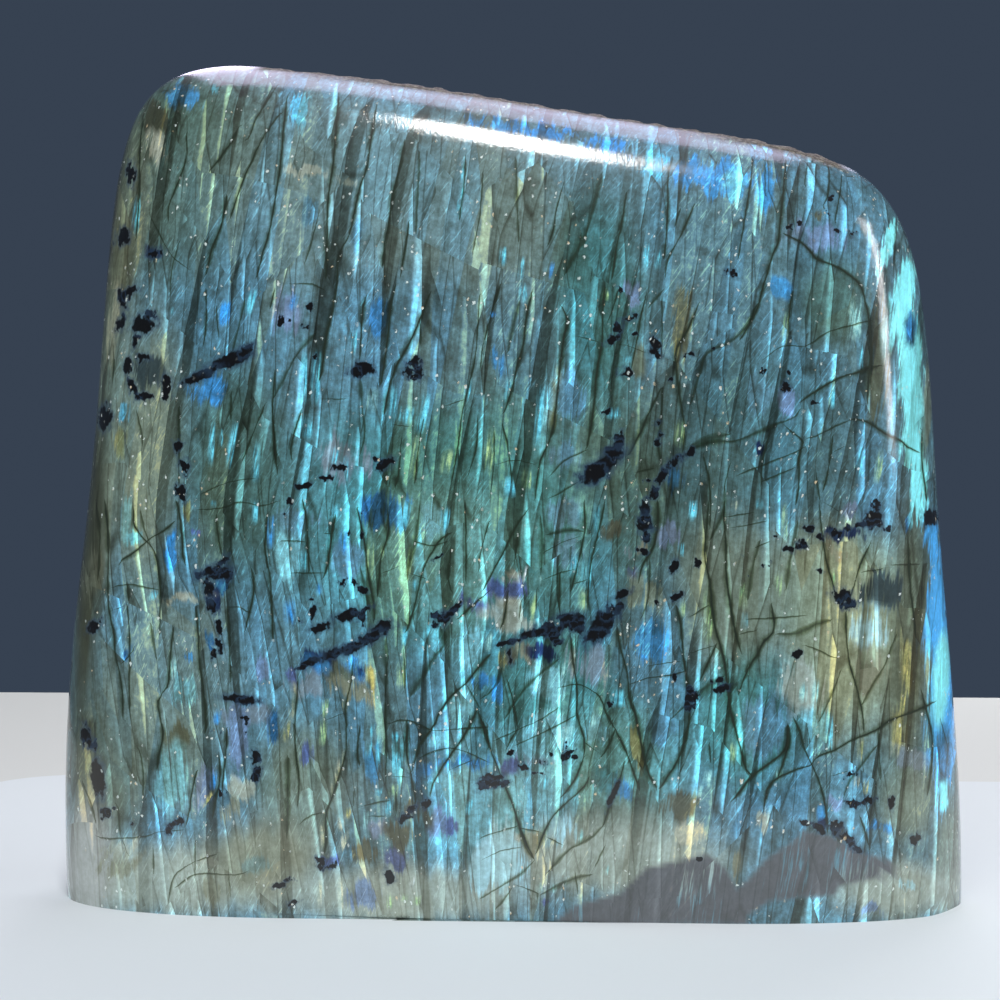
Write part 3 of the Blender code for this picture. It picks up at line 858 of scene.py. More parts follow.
# %% Hairlines on the front
HAIRLINES = (
    "761,361 783,346 806,346 826,333 849,326 861,323 872,319", "288,284 312,284 326,291",
    "320,399 346,399", "466,399 445,406", "392,424 410,427", "494,465 515,460 536,465",
    "587,450 564,461 550,476", "578,482 556,495 547,499", "615,344 629,346 646,353", "578,336 599,342",
    "636,472 655,468", "866,403 851,408", "856,418 836,426 816,436 806,439", "816,471 818,489 821,504",
    "731,462 726,479 723,499", "771,429 763,459 761,487", "736,476 773,461 796,452 806,446",
    "761,482 796,467", "726,517 756,512", "833,452 846,446", "196,510 221,508 241,502 261,506 279,501",
    "110,588 126,584 144,587 160,590", "113,611 127,604", "130,597 139,591",
    "228,607 241,607 247,612 252,612", "280,541 298,541 306,542", "291,573 326,573", "323,533 332,534",
    "382,573 400,566", "409,573 427,579", "414,541 431,546 448,541", "543,553 563,542 581,536",
    "542,580 559,573 575,569", "573,584 589,579", "646,666 681,661", "493,741 522,728 543,718 559,707",
    "514,746 544,732 564,722 578,714", "387,724 407,720 431,730 458,729 490,727",
    "417,759 438,750 458,749 490,763", "450,770 472,760", "388,776 410,777", "357,808 371,804 391,800",
    "368,816 386,816", "298,825 312,815 326,812", "326,720 344,713", "196,861 217,854",
    "168,906 172,882 179,871 196,861", "175,888 197,874 234,875 249,871", "195,835 195,878",
    "228,868 231,899", "123,840 127,854", "153,844 154,875",
    "96,836 105,839 122,838 144,837 158,832 183,830", "690,617 709,605", "690,653 716,645",
    "730,528 767,521", "754,548 771,541", "804,645 821,651 831,657 841,658", "739,634 757,630",
    "745,619 776,618 807,615", "886,565 921,564", "860,572 885,569", "940,717 949,752",
    "547,837 564,846", "520,828 540,832", "516,885 539,894 536,903", "575,871 578,894",
    "480,861 500,851 522,847", "480,838 494,833 518,826", "148,212 160,235 172,256 190,270",
    "655,580 661,577", "584,742 599,753", "690,720 700,700", "828,777 851,770", "824,502 840,512",
    "256,478 226,483 200,495", "216,304 219,339", "136,409 141,431 143,448", "320,209 312,240 304,266",
    "483,172 480,214 472,256", "681,207 674,228", "765,160 765,196", "808,161 804,186",
    "816,163 816,183", "420,319 421,347", "311,396 311,410", "662,294 662,336 661,359",
)
print("cracks:", len(DARK_CRACKS), len(OLIVE_CRACKS), len(HAIRLINES))

# %% Bright splinters on the front: tone, width, path
SPLINTERS = (
    ("cyan", 5, "139,195 136,235"), ("cyan", 4, "464,160 462,190 459,221"),
    ("cyan", 5, "504,246 504,266"), ("cyan", 4, "523,256 521,280"), ("azure", 3, "554,261 550,280"),
    ("cyan", 4, "648,242 646,270"), ("cyan", 4, "660,250 658,270"), ("azure", 6, "226,300 225,322"),
    ("cyan", 6, "255,288 248,316"), ("cyan", 3, "172,307 172,315"), ("cyan", 4, "214,420 211,467"),
    ("cyan", 4, "221,429 221,448"), ("cyan", 5, "237,420 233,441 228,469"),
    ("cyan", 5, "258,441 256,483"), ("cyan", 5, "356,328 353,354"), ("cyan", 6, "319,350 316,406"),
    ("cyan", 5, "305,350 304,406"), ("cyan", 8, "308,415 309,440"), ("azure", 5, "298,294 291,312"),
    ("aqua", 8, "375,389 372,413"), ("cyan", 6, "396,384 392,420"), ("cyan", 12, "409,406 405,424"),
    ("cyan", 7, "428,392 424,415 419,434"), ("lime", 6, "419,434 416,455 412,481"),
    ("cyan", 5, "337,446 334,467"), ("cyan", 4, "347,455 346,482"),
    ("aqua", 4, "487,326 482,359 479,370"), ("cyan", 5, "471,378 466,401"),
    ("lime", 7, "451,448 445,476"), ("lime", 5, "489,441 486,462"), ("cyan", 6, "523,283 525,304"),
    ("azure", 5, "493,311 494,316"), ("cyan", 5, "544,384 540,420 537,448"),
    ("cyan", 5, "511,378 505,410"), ("cyan", 6, "629,355 629,363"), ("cyan", 9, "616,409 616,420"),
    ("cyan", 9, "508,476 512,496"), ("lime", 6, "494,427 488,476"), ("lime", 6, "529,469 528,490"),
    ("lime", 7, "682,420 681,446"), ("lime", 6, "606,290 606,300"), ("aqua", 10, "857,295 856,343"),
    ("cyan", 4, "861,343 861,369"), ("cyan", 4, "861,446 861,479"),
    ("lime", 6, "881,446 879,471 876,484"), ("cyan", 5, "693,500 693,520"),
    ("lime", 5, "788,311 784,346"), ("cyan", 3, "834,386 833,409"), ("azure", 5, "272,514 271,549"),
    ("cyan", 6, "304,550 303,573"), ("cyan", 3, "298,521 298,536"), ("cyan", 5, "336,506 336,521"),
    ("cyan", 4, "331,531 330,553"), ("azure", 6, "345,528 343,556"),
    ("cyan", 8, "408,500 406,514 403,528"), ("lime", 4, "413,546 407,579 403,590"),
    ("cyan", 7, "447,507 446,520 442,534"), ("lime", 5, "382,546 381,560"),
    ("lime", 6, "371,540 371,560 371,579"), ("cyan", 5, "417,580 414,590"),
    ("azure", 8, "291,598 292,626"), ("azure", 4, "321,584 319,594"), ("cyan", 5, "437,626 436,642"),
    ("cyan", 4, "431,624 424,640"), ("cyan", 5, "407,626 403,647"), ("cyan", 5, "487,626 485,636"),
    ("azure", 3, "352,657 351,675"), ("lime", 6, "403,661 402,689"), ("gold", 4, "347,696 345,711"),
    ("gold", 5, "371,668 370,685"), ("gold", 4, "294,682 294,703 291,721"),
    ("lime", 5, "327,700 324,719"), ("cyan", 5, "256,500 255,524"), ("cyan", 4, "214,500 214,508"),
    ("azure", 5, "174,531 168,547"), ("cyan", 5, "157,590 152,600"), ("aqua", 4, "540,576 540,584"),
    ("lime", 5, "536,590 533,609 531,624"), ("cyan", 6, "577,552 574,579"),
    ("cyan", 7, "589,556 587,590"), ("lime", 6, "585,588 584,612"), ("cyan", 4, "598,504 598,536"),
    ("cyan", 4, "583,508 581,522"), ("white", 2, "527,566 523,584"), ("cyan", 4, "682,543 682,555"),
    ("cyan", 5, "695,501 694,518"), ("lime", 4, "684,601 683,619"), ("cyan", 9, "619,689 621,708"),
    ("aqua", 6, "490,630 488,651"), ("aqua", 4, "565,663 564,678"), ("lime", 6, "743,583 744,610"),
    ("cyan", 5, "745,612 745,630"), ("cyan", 5, "761,500 760,509"), ("lime", 4, "785,500 786,544"),
    ("lime", 5, "780,574 779,596"), ("lime", 7, "709,586 710,620 707,646"),
    ("gold", 5, "910,641 908,665 907,690"), ("gold", 4, "905,689 902,715"),
    ("gold", 6, "899,717 898,740 896,758"), ("gold", 4, "862,736 860,762"),
    ("aqua", 7, "805,682 803,703"), ("aqua", 6, "817,679 814,707"), ("cyan", 5, "831,712 830,751"),
    ("lime", 6, "735,741 733,763"), ("gold", 4, "868,779 866,795"), ("cream", 5, "858,775 856,788"),
    ("aqua", 6, "710,770 707,788"), ("aqua", 6, "701,784 698,797"), ("aqua", 6, "781,767 778,781"),
    ("gold", 4, "289,721 286,742"), ("lime", 6, "325,718 322,746"),
    ("cream", 4, "344,749 338,775 331,797"), ("gold", 5, "350,808 347,819"),
    ("cream", 5, "343,816 341,832"), ("cream", 5, "348,829 345,840 340,853"),
    ("cyan", 3, "374,724 371,737"), ("cyan", 4, "371,739 368,759"), ("cyan", 3, "380,732 378,767"),
    ("cyan", 5, "397,731 395,742"), ("cyan", 9, "398,753 396,773"), ("lime", 6, "396,783 394,798"),
    ("cyan", 6, "391,798 388,816"), ("cyan", 4, "381,787 379,797"), ("aqua", 4, "367,810 365,830"),
    ("cyan", 4, "434,777 432,791"), ("cyan", 4, "472,798 468,815"), ("white", 3, "414,877 412,888"),
    ("lime", 4, "407,894 405,903"), ("lime", 5, "419,896 417,906"), ("cream", 4, "341,874 342,910"),
    ("cream", 3, "321,875 320,910"), ("lime", 5, "392,894 389,910"), ("cream", 3, "323,819 323,850"),
    ("azure", 4, "216,770 213,790"), ("gold", 3, "214,790 206,803 200,810"),
    ("cyan", 4, "547,776 545,790"), ("cyan", 3, "549,836 547,850"), ("aqua", 4, "582,830 580,842"),
    ("cyan", 4, "633,776 631,790"), ("aqua", 8, "572,721 568,745"), ("aqua", 5, "594,716 593,728"),
    ("aqua", 5, "555,884 553,894"), ("aqua", 4, "541,884 540,894"), ("aqua", 3, "608,866 606,876"),
    ("lime", 4, "833,569 834,586"), ("cream", 4, "736,500 735,510"), ("azure", 5, "220,711 216,725"),
    ("aqua", 6, "175,655 172,680"),
)
print("bright splinters:", len(SPLINTERS))

# %% Dark grains on the front: x, y, length, width, lean
GRAINS = (
    (131, 174, 21, 8, 88), (123, 237, 16, 11, 60), (155, 254, 13, 9, 20), (731, 273, 8, 7, 0),
    (831, 199, 4, 4, 0), (801, 222, 5, 4, 0), (789, 226, 4, 3, 0), (837, 230, 5, 4, 0),
    (852, 234, 6, 4, 0), (826, 213, 4, 3, 0), (122, 300, 22, 7, 100), (130, 292, 16, 8, 40),
    (121, 322, 18, 7, 70), (144, 324, 22, 16, 10), (151, 316, 10, 8, 0), (136, 340, 8, 6, 60),
    (128, 366, 20, 7, 80), (133, 388, 20, 7, 120), (144, 396, 14, 8, 0), (144, 357, 14, 6, 10),
    (166, 387, 20, 11, 85), (200, 376, 34, 9, 26), (232, 359, 46, 13, 22), (247, 350, 16, 9, 30),
    (105, 418, 22, 12, 85), (177, 446, 10, 8, 90), (184, 467, 13, 10, 90), (180, 492, 13, 9, 110),
    (364, 369, 22, 14, 15), (354, 372, 10, 8, 0), (414, 362, 14, 10, 0), (408, 371, 12, 8, 100),
    (420, 373, 14, 8, 80), (414, 379, 10, 6, 0), (384, 464, 20, 9, 30), (378, 459, 7, 5, 0),
    (339, 467, 11, 5, 0), (327, 478, 12, 4, 0), (304, 486, 14, 5, 10), (280, 321, 6, 4, 90),
    (304, 328, 6, 4, 0), (309, 306, 4, 3, 0), (292, 321, 4, 3, 0), (315, 356, 4, 3, 0),
    (603, 466, 50, 17, 38), (592, 474, 24, 16, 20), (616, 450, 18, 14, 50), (620, 437, 11, 9, 0),
    (688, 453, 14, 7, 30), (674, 463, 14, 8, 40), (662, 478, 18, 8, 62), (654, 492, 12, 8, 70),
    (629, 319, 13, 6, 20), (617, 328, 9, 8, 60), (613, 339, 12, 7, 30), (626, 373, 12, 7, 0),
    (655, 349, 17, 10, 90), (622, 290, 5, 5, 0), (634, 334, 4, 3, 0), (690, 354, 6, 3, 0),
    (648, 481, 7, 4, 0), (669, 380, 6, 3, 0), (606, 411, 8, 3, 20), (658, 423, 6, 5, 0),
    (658, 434, 7, 6, 0), (659, 443, 6, 6, 0), (874, 519, 20, 18, 30), (866, 524, 22, 6, 10),
    (889, 530, 7, 4, 0), (931, 518, 16, 15, 0), (809, 529, 9, 7, 0), (793, 548, 12, 6, 8),
    (803, 543, 10, 6, 80), (817, 536, 5, 5, 0), (836, 533, 14, 8, 0), (848, 528, 5, 4, 0),
    (877, 505, 9, 7, 90), (787, 388, 7, 7, 0), (815, 403, 5, 3, 0), (788, 372, 4, 3, 0),
    (715, 347, 3, 3, 0), (763, 374, 3, 3, 0), (217, 572, 30, 14, 8), (222, 563, 14, 8, 60),
    (205, 573, 18, 8, 30), (208, 588, 20, 9, 100), (229, 575, 12, 10, 0), (212, 606, 16, 9, 110),
    (219, 626, 16, 5, 95), (219, 645, 14, 6, 110), (214, 652, 8, 5, 60), (94, 626, 14, 9, 40),
    (240, 699, 32, 8, -6), (247, 701, 14, 8, 0), (344, 581, 6, 4, 0), (355, 584, 5, 5, 0),
    (362, 590, 9, 5, -30), (311, 600, 6, 3, 0), (300, 621, 6, 3, 10), (321, 627, 17, 9, 20),
    (349, 615, 24, 9, 14), (366, 609, 16, 6, 24), (362, 617, 10, 7, 80), (313, 612, 16, 5, 80),
    (311, 662, 28, 7, 26), (332, 654, 28, 9, 18), (352, 648, 26, 9, 18), (370, 638, 28, 10, 22),
    (381, 628, 24, 12, 22), (300, 668, 12, 4, 20), (443, 619, 20, 11, 20), (454, 609, 24, 6, 42),
    (436, 616, 10, 7, 0), (429, 625, 5, 3, 0), (436, 558, 8, 3, 30), (349, 534, 5, 3, 90),
    (362, 534, 5, 3, 90), (287, 515, 5, 3, 0), (291, 501, 6, 4, 20), (363, 509, 5, 3, 90),
    (509, 642, 26, 5, 14), (530, 634, 28, 9, 20), (546, 630, 22, 14, 14), (553, 637, 12, 9, 0),
    (557, 643, 7, 5, 0), (510, 658, 16, 5, 110), (572, 621, 26, 15, 20), (566, 616, 16, 9, 0),
    (578, 628, 14, 12, 0), (600, 627, 40, 20, 52), (594, 636, 22, 12, 20), (608, 612, 16, 8, 60),
    (622, 594, 18, 7, 26), (617, 610, 16, 9, 40), (645, 525, 18, 13, 90), (647, 536, 14, 8, 80),
    (645, 510, 18, 8, 90), (643, 551, 10, 5, 0), (676, 566, 13, 8, 70), (677, 596, 9, 6, 30),
    (657, 604, 4, 4, 0), (697, 564, 4, 4, 0), (674, 677, 9, 3, 90), (692, 697, 14, 12, 30),
    (721, 689, 14, 7, 20), (691, 706, 8, 6, 0), (843, 596, 18, 14, -30), (848, 604, 12, 10, 0),
    (819, 569, 7, 4, -20), (796, 654, 7, 6, 30), (765, 565, 4, 3, 30), (748, 576, 3, 3, 0),
    (739, 559, 3, 3, 0), (778, 536, 4, 3, 0), (718, 681, 8, 6, 0), (492, 779, 20, 13, 10),
    (484, 785, 14, 9, 30), (500, 784, 16, 6, 14), (525, 767, 7, 5, 0), (544, 762, 7, 6, 0),
    (540, 773, 5, 3, 0), (510, 752, 5, 3, 10), (554, 734, 4, 3, 0), (552, 755, 4, 3, 0),
    (567, 755, 10, 5, 50), (570, 752, 4, 3, 0), (566, 748, 5, 3, 90), (574, 750, 5, 3, 10),
    (575, 756, 4, 2, 0), (562, 757, 3, 3, 0), (424, 804, 12, 8, 20), (411, 810, 12, 6, 30),
    (404, 818, 14, 8, 30), (390, 877, 13, 10, -20), (322, 863, 10, 8, 0), (330, 866, 12, 5, 20),
    (277, 886, 11, 5, 10), (292, 903, 10, 6, 0), (292, 880, 8, 3, 0), (256, 759, 13, 8, 88),
    (258, 771, 14, 6, 80), (254, 777, 6, 5, 0), (221, 794, 5, 4, 30), (245, 718, 4, 4, 0),
    (245, 724, 3, 3, 0), (242, 732, 4, 3, 0), (214, 729, 5, 5, 0), (87, 737, 22, 9, 110),
    (91, 745, 10, 8, 0), (98, 779, 34, 13, 98), (106, 813, 11, 8, 80), (111, 810, 7, 3, 30),
    (133, 823, 5, 3, 20), (171, 827, 10, 6, 60), (177, 822, 12, 6, 30), (851, 803, 9, 8, 0),
    (867, 801, 11, 8, 20), (859, 803, 10, 4, 14), (836, 827, 14, 12, -60), (846, 838, 22, 10, -38),
    (856, 847, 16, 6, -38), (892, 802, 16, 5, 84), (819, 828, 14, 7, -30), (808, 824, 8, 4, -20),
    (916, 839, 11, 8, 10), (851, 774, 6, 4, 20), (613, 795, 24, 5, 66), (700, 859, 3, 2, 0),
    (609, 703, 3, 3, 0), (690, 690, 8, 6, 0),
)
print("dark grains:", len(GRAINS))

# %% Turn the written paths into smooth lines
LINE_STEP = 6.0


def smooth_line(text):
    """The path through places written as x,y pairs, rounded at its bends."""
    corners = np.array([[float(n) for n in pair.split(",")] for pair in text.split()])
    return round_off(corners)


def round_off(corners):
    ends = np.concatenate((2 * corners[:1] - corners[1:2], corners, 2 * corners[-1:] - corners[-2:-1]))
    line = [corners[0]]
    for before, start, end, after in zip(ends, ends[1:], ends[2:], ends[3:]):
        steps = max(1, int(np.hypot(*(end - start)) / LINE_STEP))
        for step in range(1, steps + 1):
            t = step / steps
            bend = (2 * start + (end - before) * t + (2 * before - 5 * start + 4 * end - after) * t**2
                    + (3 * start - before - 3 * end + after) * t**3) / 2
            line.append(bend)
    return np.array(line)


DARK, OLIVE_SOFT, HAIR = 1.0, 0.55, 0.75
HAIR_WIDTH = 1.8
front_cracks = [(width, DARK, smooth_line(path)) for width, path in DARK_CRACKS]
front_cracks += [(width, OLIVE_SOFT, smooth_line(path)) for width, path in OLIVE_CRACKS]
front_cracks += [(HAIR_WIDTH, HAIR, smooth_line(path)) for path in HAIRLINES]
front_splinters = [(width, tone, smooth_line(path)) for tone, width, path in SPLINTERS]

# %% Draw cracks, splinters and grains for the back and the rim
SPLINTER_TONES = ("cyan", "azure", "aqua", "cyan", "lime")
CROSSING_SHARE, CROSSING_TILT = 0.25, 70
DARK_SHARE = 0.6
PATH_PIECE = 30


def chance_path(x_range, y_range, length, lean, waver):
    """A path that starts anywhere on a map and runs near the given lean from upright."""
    place = np.array((chance.uniform(*x_range), chance.uniform(*y_range)))
    heading = math.radians(lean + chance.normal(0, waver))
    corners = [place]
    for _ in range(max(2, int(length / PATH_PIECE))):
        heading += chance.normal(0, 0.12)
        place = place + np.array((-math.sin(heading), math.cos(heading))) * min(PATH_PIECE, length / 2)
        corners.append(place)
    return round_off(np.array(corners))


def chance_marks(x_range, y_range, cracks, splinters, grains, lean, longest):
    drawn_cracks = []
    for _ in range(cracks):
        across = chance.random() < CROSSING_SHARE
        tilt = lean + (CROSSING_TILT if across else 0)
        length = chance.uniform(0.2, 1.0) * longest * (0.5 if across else 1)
        dark = DARK if chance.random() < DARK_SHARE else OLIVE_SOFT
        width = HAIR_WIDTH if across else chance.uniform(2, 5.5)
        drawn_cracks.append((width, dark, chance_path(x_range, y_range, length, tilt, 7)))
    drawn_splinters = []
    for _ in range(splinters):
        tone = SPLINTER_TONES[int(chance.integers(len(SPLINTER_TONES)))]
        path = chance_path(x_range, y_range, chance.uniform(10, 34), lean, 3)
        drawn_splinters.append((chance.uniform(3, 8), tone, path))
    drawn_grains = []
    for _ in range(grains):
        x, y = chance.uniform(*x_range), chance.uniform(*y_range)
        size = 4 + 22 * chance.random() ** 4
        for _ in range(1 + int(size / 9)):
            long = size * chance.uniform(0.6, 1.2)
            drawn_grains.append((x, y, long, long * chance.uniform(0.3, 0.8), chance.uniform(0, 180)))
            x, y = x + chance.normal(0, size * 0.5), y + chance.normal(0, size * 0.4)
    return drawn_cracks, drawn_splinters, drawn_grains


back_marks = chance_marks(BACK_SPAN_X, BACK_SPAN_Y, 150, 150, 90, -8, 190)
rim_marks = chance_marks(RIM_SPAN_X, RIM_SPAN_Y, 120, 90, 50, 0, 110)
print("drawn by lot:", [len(marks) for marks in back_marks], [len(marks) for marks in rim_marks])

# %% Measure every corner of the mesh against the marks near it
SPLINTER_COLOURS = {
    "cyan": (115, 218, 240), "azure": (62, 160, 235), "aqua": (160, 215, 210), "lime": (165, 198, 140),
    "gold": (188, 180, 108), "cream": (196, 196, 166), "white": (235, 240, 240),
}
CRACKS_KEPT, SPLINTERS_KEPT, GRAINS_KEPT = 3, 2, 2
FAR = 99.0
TAPER = 12.0

face_sizes = [len(face.vertices) for face in stone_mesh.polygons]
face_of_corner = np.repeat(np.arange(len(face_sizes)), face_sizes)
point_of_corner = np.empty(len(stone_mesh.loops), dtype=np.int64)
stone_mesh.loops.foreach_get("vertex_index", point_of_corner)
corners_in_face = np.bincount(face_of_corner)


def face_mean(values):
    """The mean over each face's corners of something known at the points."""
    picked = values[point_of_corner]
    if values.ndim == 1:
        return np.bincount(face_of_corner, picked) / corners_in_face
    return np.stack([np.bincount(face_of_corner, column) / corners_in_face for column in picked.T], axis=1)


def gap_to_line(spots, line):
    """Signed distance to a line and how far along it the nearest place is, both in pixels."""
    best = np.full(len(spots), 1e9)
    signed = np.zeros(len(spots))
    along = np.zeros(len(spots))
    gone = 0.0
    for start, end in zip(line, line[1:]):
        run = end - start
        length = np.hypot(*run)
        run = run / length
        off = spots - start
        reach = np.clip(off @ run, 0, length)
        away = off - reach[:, None] * run
        gap = np.hypot(away[:, 0], away[:, 1])
        closer = gap < best
        side = np.sign(off[:, 0] * run[1] - off[:, 1] * run[0])
        best = np.where(closer, gap, best)
        signed = np.where(closer, gap * side, signed)
        along = np.where(closer, gone + reach, along)
        gone += length
    return signed, along, gone


def push_out(better, held, new):
    """Puts the new values where they are better, and hands back the ones that are left over."""
    left_over = np.where(better, held, new)
    held[better] = new[better]
    return left_over


def nearest_marks(spots, gaps_for, count, kept):
    """For each place, the numbers of its nearest marks, from a function that gives the gap to mark i."""
    best = np.full((len(spots), kept), 1e9)
    which = np.full((len(spots), kept), -1)
    for i in range(count):
        near, gap = gaps_for(spots, i)
        name = np.full(len(gap), i)
        held, names = best[near], which[near]
        for slot in range(kept):
            better = gap < held[:, slot]
            gap = push_out(better, held[:, slot], gap)
            name = push_out(better, names[:, slot], name)
        best[near], which[near] = held, names
    return which


REACH = 16.0


def line_gaps(marks):
    def gaps_for(spots, i):
        line = marks[i][2]
        low, high = line.min(axis=0) - REACH, line.max(axis=0) + REACH
        near = np.flatnonzero(((spots > low) & (spots < high)).all(axis=1))
        signed, _, _ = gap_to_line(spots[near], line)
        return near, np.abs(signed)
    return gaps_for


def grain_gaps(grains):
    def gaps_for(spots, i):
        x, y, long, wide, _ = grains[i]
        reach = long / 2 + REACH
        near = np.flatnonzero((np.abs(spots - (x, y)) < reach).all(axis=1))
        along, across = in_grain(spots[near], grains[i])
        return near, (np.hypot(along, across) - 1) * wide / 2
    return gaps_for


def in_grain(spots, grain):
    """Places measured from a grain's middle, in units of its half length and half width."""
    x, y, long, wide, lean = grain
    off = spots - (x, y)
    cos, sin = math.cos(math.radians(lean)), math.sin(math.radians(lean))
    along = (off[:, 0] * cos - off[:, 1] * sin) / (long / 2)
    across = (off[:, 0] * sin + off[:, 1] * cos) / (wide / 2)
    return along, across


corner_count = len(point_of_corner)
crack_layers = [np.tile((FAR, 0.0, 0.0), (corner_count, 1)) for _ in range(CRACKS_KEPT)]
splinter_layers = [np.tile((FAR, 0.0, 0.0), (corner_count, 1)) for _ in range(SPLINTERS_KEPT)]
splinter_colours = [np.zeros((corner_count, 4)) for _ in range(SPLINTERS_KEPT)]
grain_layers = [np.tile((FAR, FAR, 0.0), (corner_count, 1)) for _ in range(GRAINS_KEPT)]


def each_kept(mids, corner_faces, marks, gaps_for, kept):
    """For each layer and mark, the corners whose face keeps that mark in that layer."""
    which = nearest_marks(mids, gaps_for, len(marks), kept)
    for number in range(kept):
        chosen = which[corner_faces, number]
        for i, mark in enumerate(marks):
            yield number, mark, np.flatnonzero(chosen == i)


def measure_map(spots, share, own_faces, cracks, splinters, grains):
    """Fills the layers at the corners of the faces that belong to one map."""
    faces_here = np.flatnonzero(own_faces)
    mids = face_mean(spots)[faces_here]
    slot_of_face = np.full(len(own_faces), -1)
    slot_of_face[faces_here] = np.arange(len(faces_here))
    corners = np.flatnonzero(slot_of_face[face_of_corner] >= 0)
    corner_faces = slot_of_face[face_of_corner[corners]]
    corner_spots = spots[point_of_corner[corners]]
    corner_share = share[point_of_corner[corners]]
    full = rise(corner_share, 0.5, 0.85)
    kept_cracks = each_kept(mids, corner_faces, cracks, line_gaps(cracks), CRACKS_KEPT)
    for number, (width, dark, line), here in kept_cracks:
        signed, along, length = gap_to_line(corner_spots[here], line)
        ends = np.clip(np.minimum(along, length - along) / TAPER, 0, 1) ** 0.5
        half_width = width / 2 * ends * full[here]
        values = np.stack((signed, half_width, np.full(len(here), dark)), axis=1)
        crack_layers[number][corners[here]] = values
    kept_splinters = each_kept(mids, corner_faces, splinters, line_gaps(splinters), SPLINTERS_KEPT)
    for number, (width, tone, line), here in kept_splinters:
        signed, along, length = gap_to_line(corner_spots[here], line)
        ends = np.clip(np.minimum(along, length - along) / (length / 3), 0, 1)
        splinter_layers[number][corners[here]] = np.stack((signed, width / 2 * full[here], ends), axis=1)
        splinter_colours[number][corners[here]] = np.append(seen_colour(SPLINTER_COLOURS[tone]), 1)
    for number, grain, here in each_kept(mids, corner_faces, grains, grain_gaps(grains), GRAINS_KEPT):
        along, across = in_grain(corner_spots[here], grain)
        fade = 1 + 6 * (1 - full[here])
        size = np.full(len(here), 2 / (grain[2] + grain[3]))
        grain_layers[number][corners[here]] = np.stack((along * fade, across * fade, size), axis=1)


depth_of_face = face_mean(places)[:, 1]
front_faces = depth_of_face < (RIM_START + FRONT_END) / 2
back_faces = depth_of_face > (BACK_START + RIM_END) / 2
measure_map(front_map, front_share, front_faces, front_cracks, front_splinters, GRAINS)
measure_map(rim_map, rim_share, ~front_faces & ~back_faces, *rim_marks)
measure_map(back_map, back_share, back_faces, *back_marks)
for number, layer in enumerate(crack_layers, 1):
    keep_on_points(f"crack_{number}", "FLOAT_VECTOR", layer, "CORNER")
for number, layer in enumerate(splinter_layers, 1):
    keep_on_points(f"splinter_{number}", "FLOAT_VECTOR", layer, "CORNER")
    keep_on_points(f"splinter_colour_{number}", "FLOAT_COLOR", splinter_colours[number - 1], "CORNER")
for number, layer in enumerate(grain_layers, 1):
    keep_on_points(f"grain_{number}", "FLOAT_VECTOR", layer, "CORNER")
print("corners measured:", corner_count)

# %% [markdown]
# ## The plates
#
# The twin plates of the feldspar run right through the stone, nearly upright, and lean a little. A texture
# that is stretched along them gives the splintery look, so each point gets a place within the plates:
# across them, through the stone and along them. The lean changes over the face as it does on the real one.

# %% Where each point lies within the plates
LEAN_ABOVE = math.radians(8)
LEAN_BELOW_LEFT, LEAN_BELOW_RIGHT = math.radians(-4), math.radians(7)
LEAN_CHANGES_AT = 66 * MM

x_mm, y_mm, z_mm = (places / MM).T
height_over_change = z_mm - LEAN_CHANGES_AT / MM
below_share = rise(-height_over_change, -12, 20)
lean_below = LEAN_BELOW_LEFT + rise(x_mm, -35, 25) * (LEAN_BELOW_RIGHT - LEAN_BELOW_LEFT)
lean = LEAN_ABOVE + below_share * (np.tan(lean_below) - LEAN_ABOVE)
across_plates = x_mm - height_over_change * np.tan(lean)
across_plates += 0.3 * np.sin(z_mm / 13.1 + x_mm / 17) + 0.1 * np.sin(z_mm / 5.7 + x_mm / 7 + 2)
within_plates = np.stack((across_plates, y_mm, z_mm), axis=1)
keep_on_points("within_plates", "FLOAT_VECTOR", within_plates)

STAIN = np.array((0, 1.7 * MM, 0))
rough_share = strip_share(from_middle + STAIN)
keep_on_points("rough_strip", "FLOAT", rise(np.maximum(rough_share, strip_share(from_middle)), 0.1, 0.5))
print("plates lean", round(math.degrees(LEAN_ABOVE)), "degrees at the top")

# %% [markdown]
# ## The finish
#
# The shader works from the inside out. First comes the tone of the place, darker or brighter from plate to
# plate and splinter to splinter. Then come the bright splinters, the cracks, the dark grains, the painted
# glints and the rough strip. Last comes a clear coat, which stands for the polish: below it the rock
# scatters light softly, and on it the lamps and the sheet are mirrored sharply.

# %% Small helpers for joining shader nodes
stone_finish = bpy.data.materials.new("polished_labradorite")
stone_finish.use_nodes = True
nodes = stone_finish.node_tree.nodes
links = stone_finish.node_tree.links
polish = nodes["Principled BSDF"]


def plug(socket, value):
    """Joins a socket to another node's output, or sets it to a number, a vector or a colour."""
    if isinstance(value, bpy.types.NodeSocket):
        links.new(value, socket)
    else:
        socket.default_value = value


def kept(name):
    node = nodes.new("ShaderNodeAttribute")
    node.attribute_name = name
    return node


def maths(operation, first, second=0.0, third=0.0, clamp=False):
    node = nodes.new("ShaderNodeMath")
    node.operation = operation
    node.use_clamp = clamp
    for socket, value in zip(node.inputs, (first, second, third)):
        plug(socket, value)
    return node.outputs[0]


def stretched(vector, scale):
    node = nodes.new("ShaderNodeVectorMath")
    node.operation = "MULTIPLY"
    plug(node.inputs[0], vector)
    plug(node.inputs[1], scale)
    return node.outputs[0]


def step_between(value, low, high, start=0.0, end=1.0):
    """start up to low, end from high on, and a smooth step between."""
    node = nodes.new("ShaderNodeMapRange")
    node.interpolation_type = "SMOOTHSTEP"
    for socket, given in zip(node.inputs, (value, low, high, start, end)):
        plug(socket, given)
    return node.outputs[0]


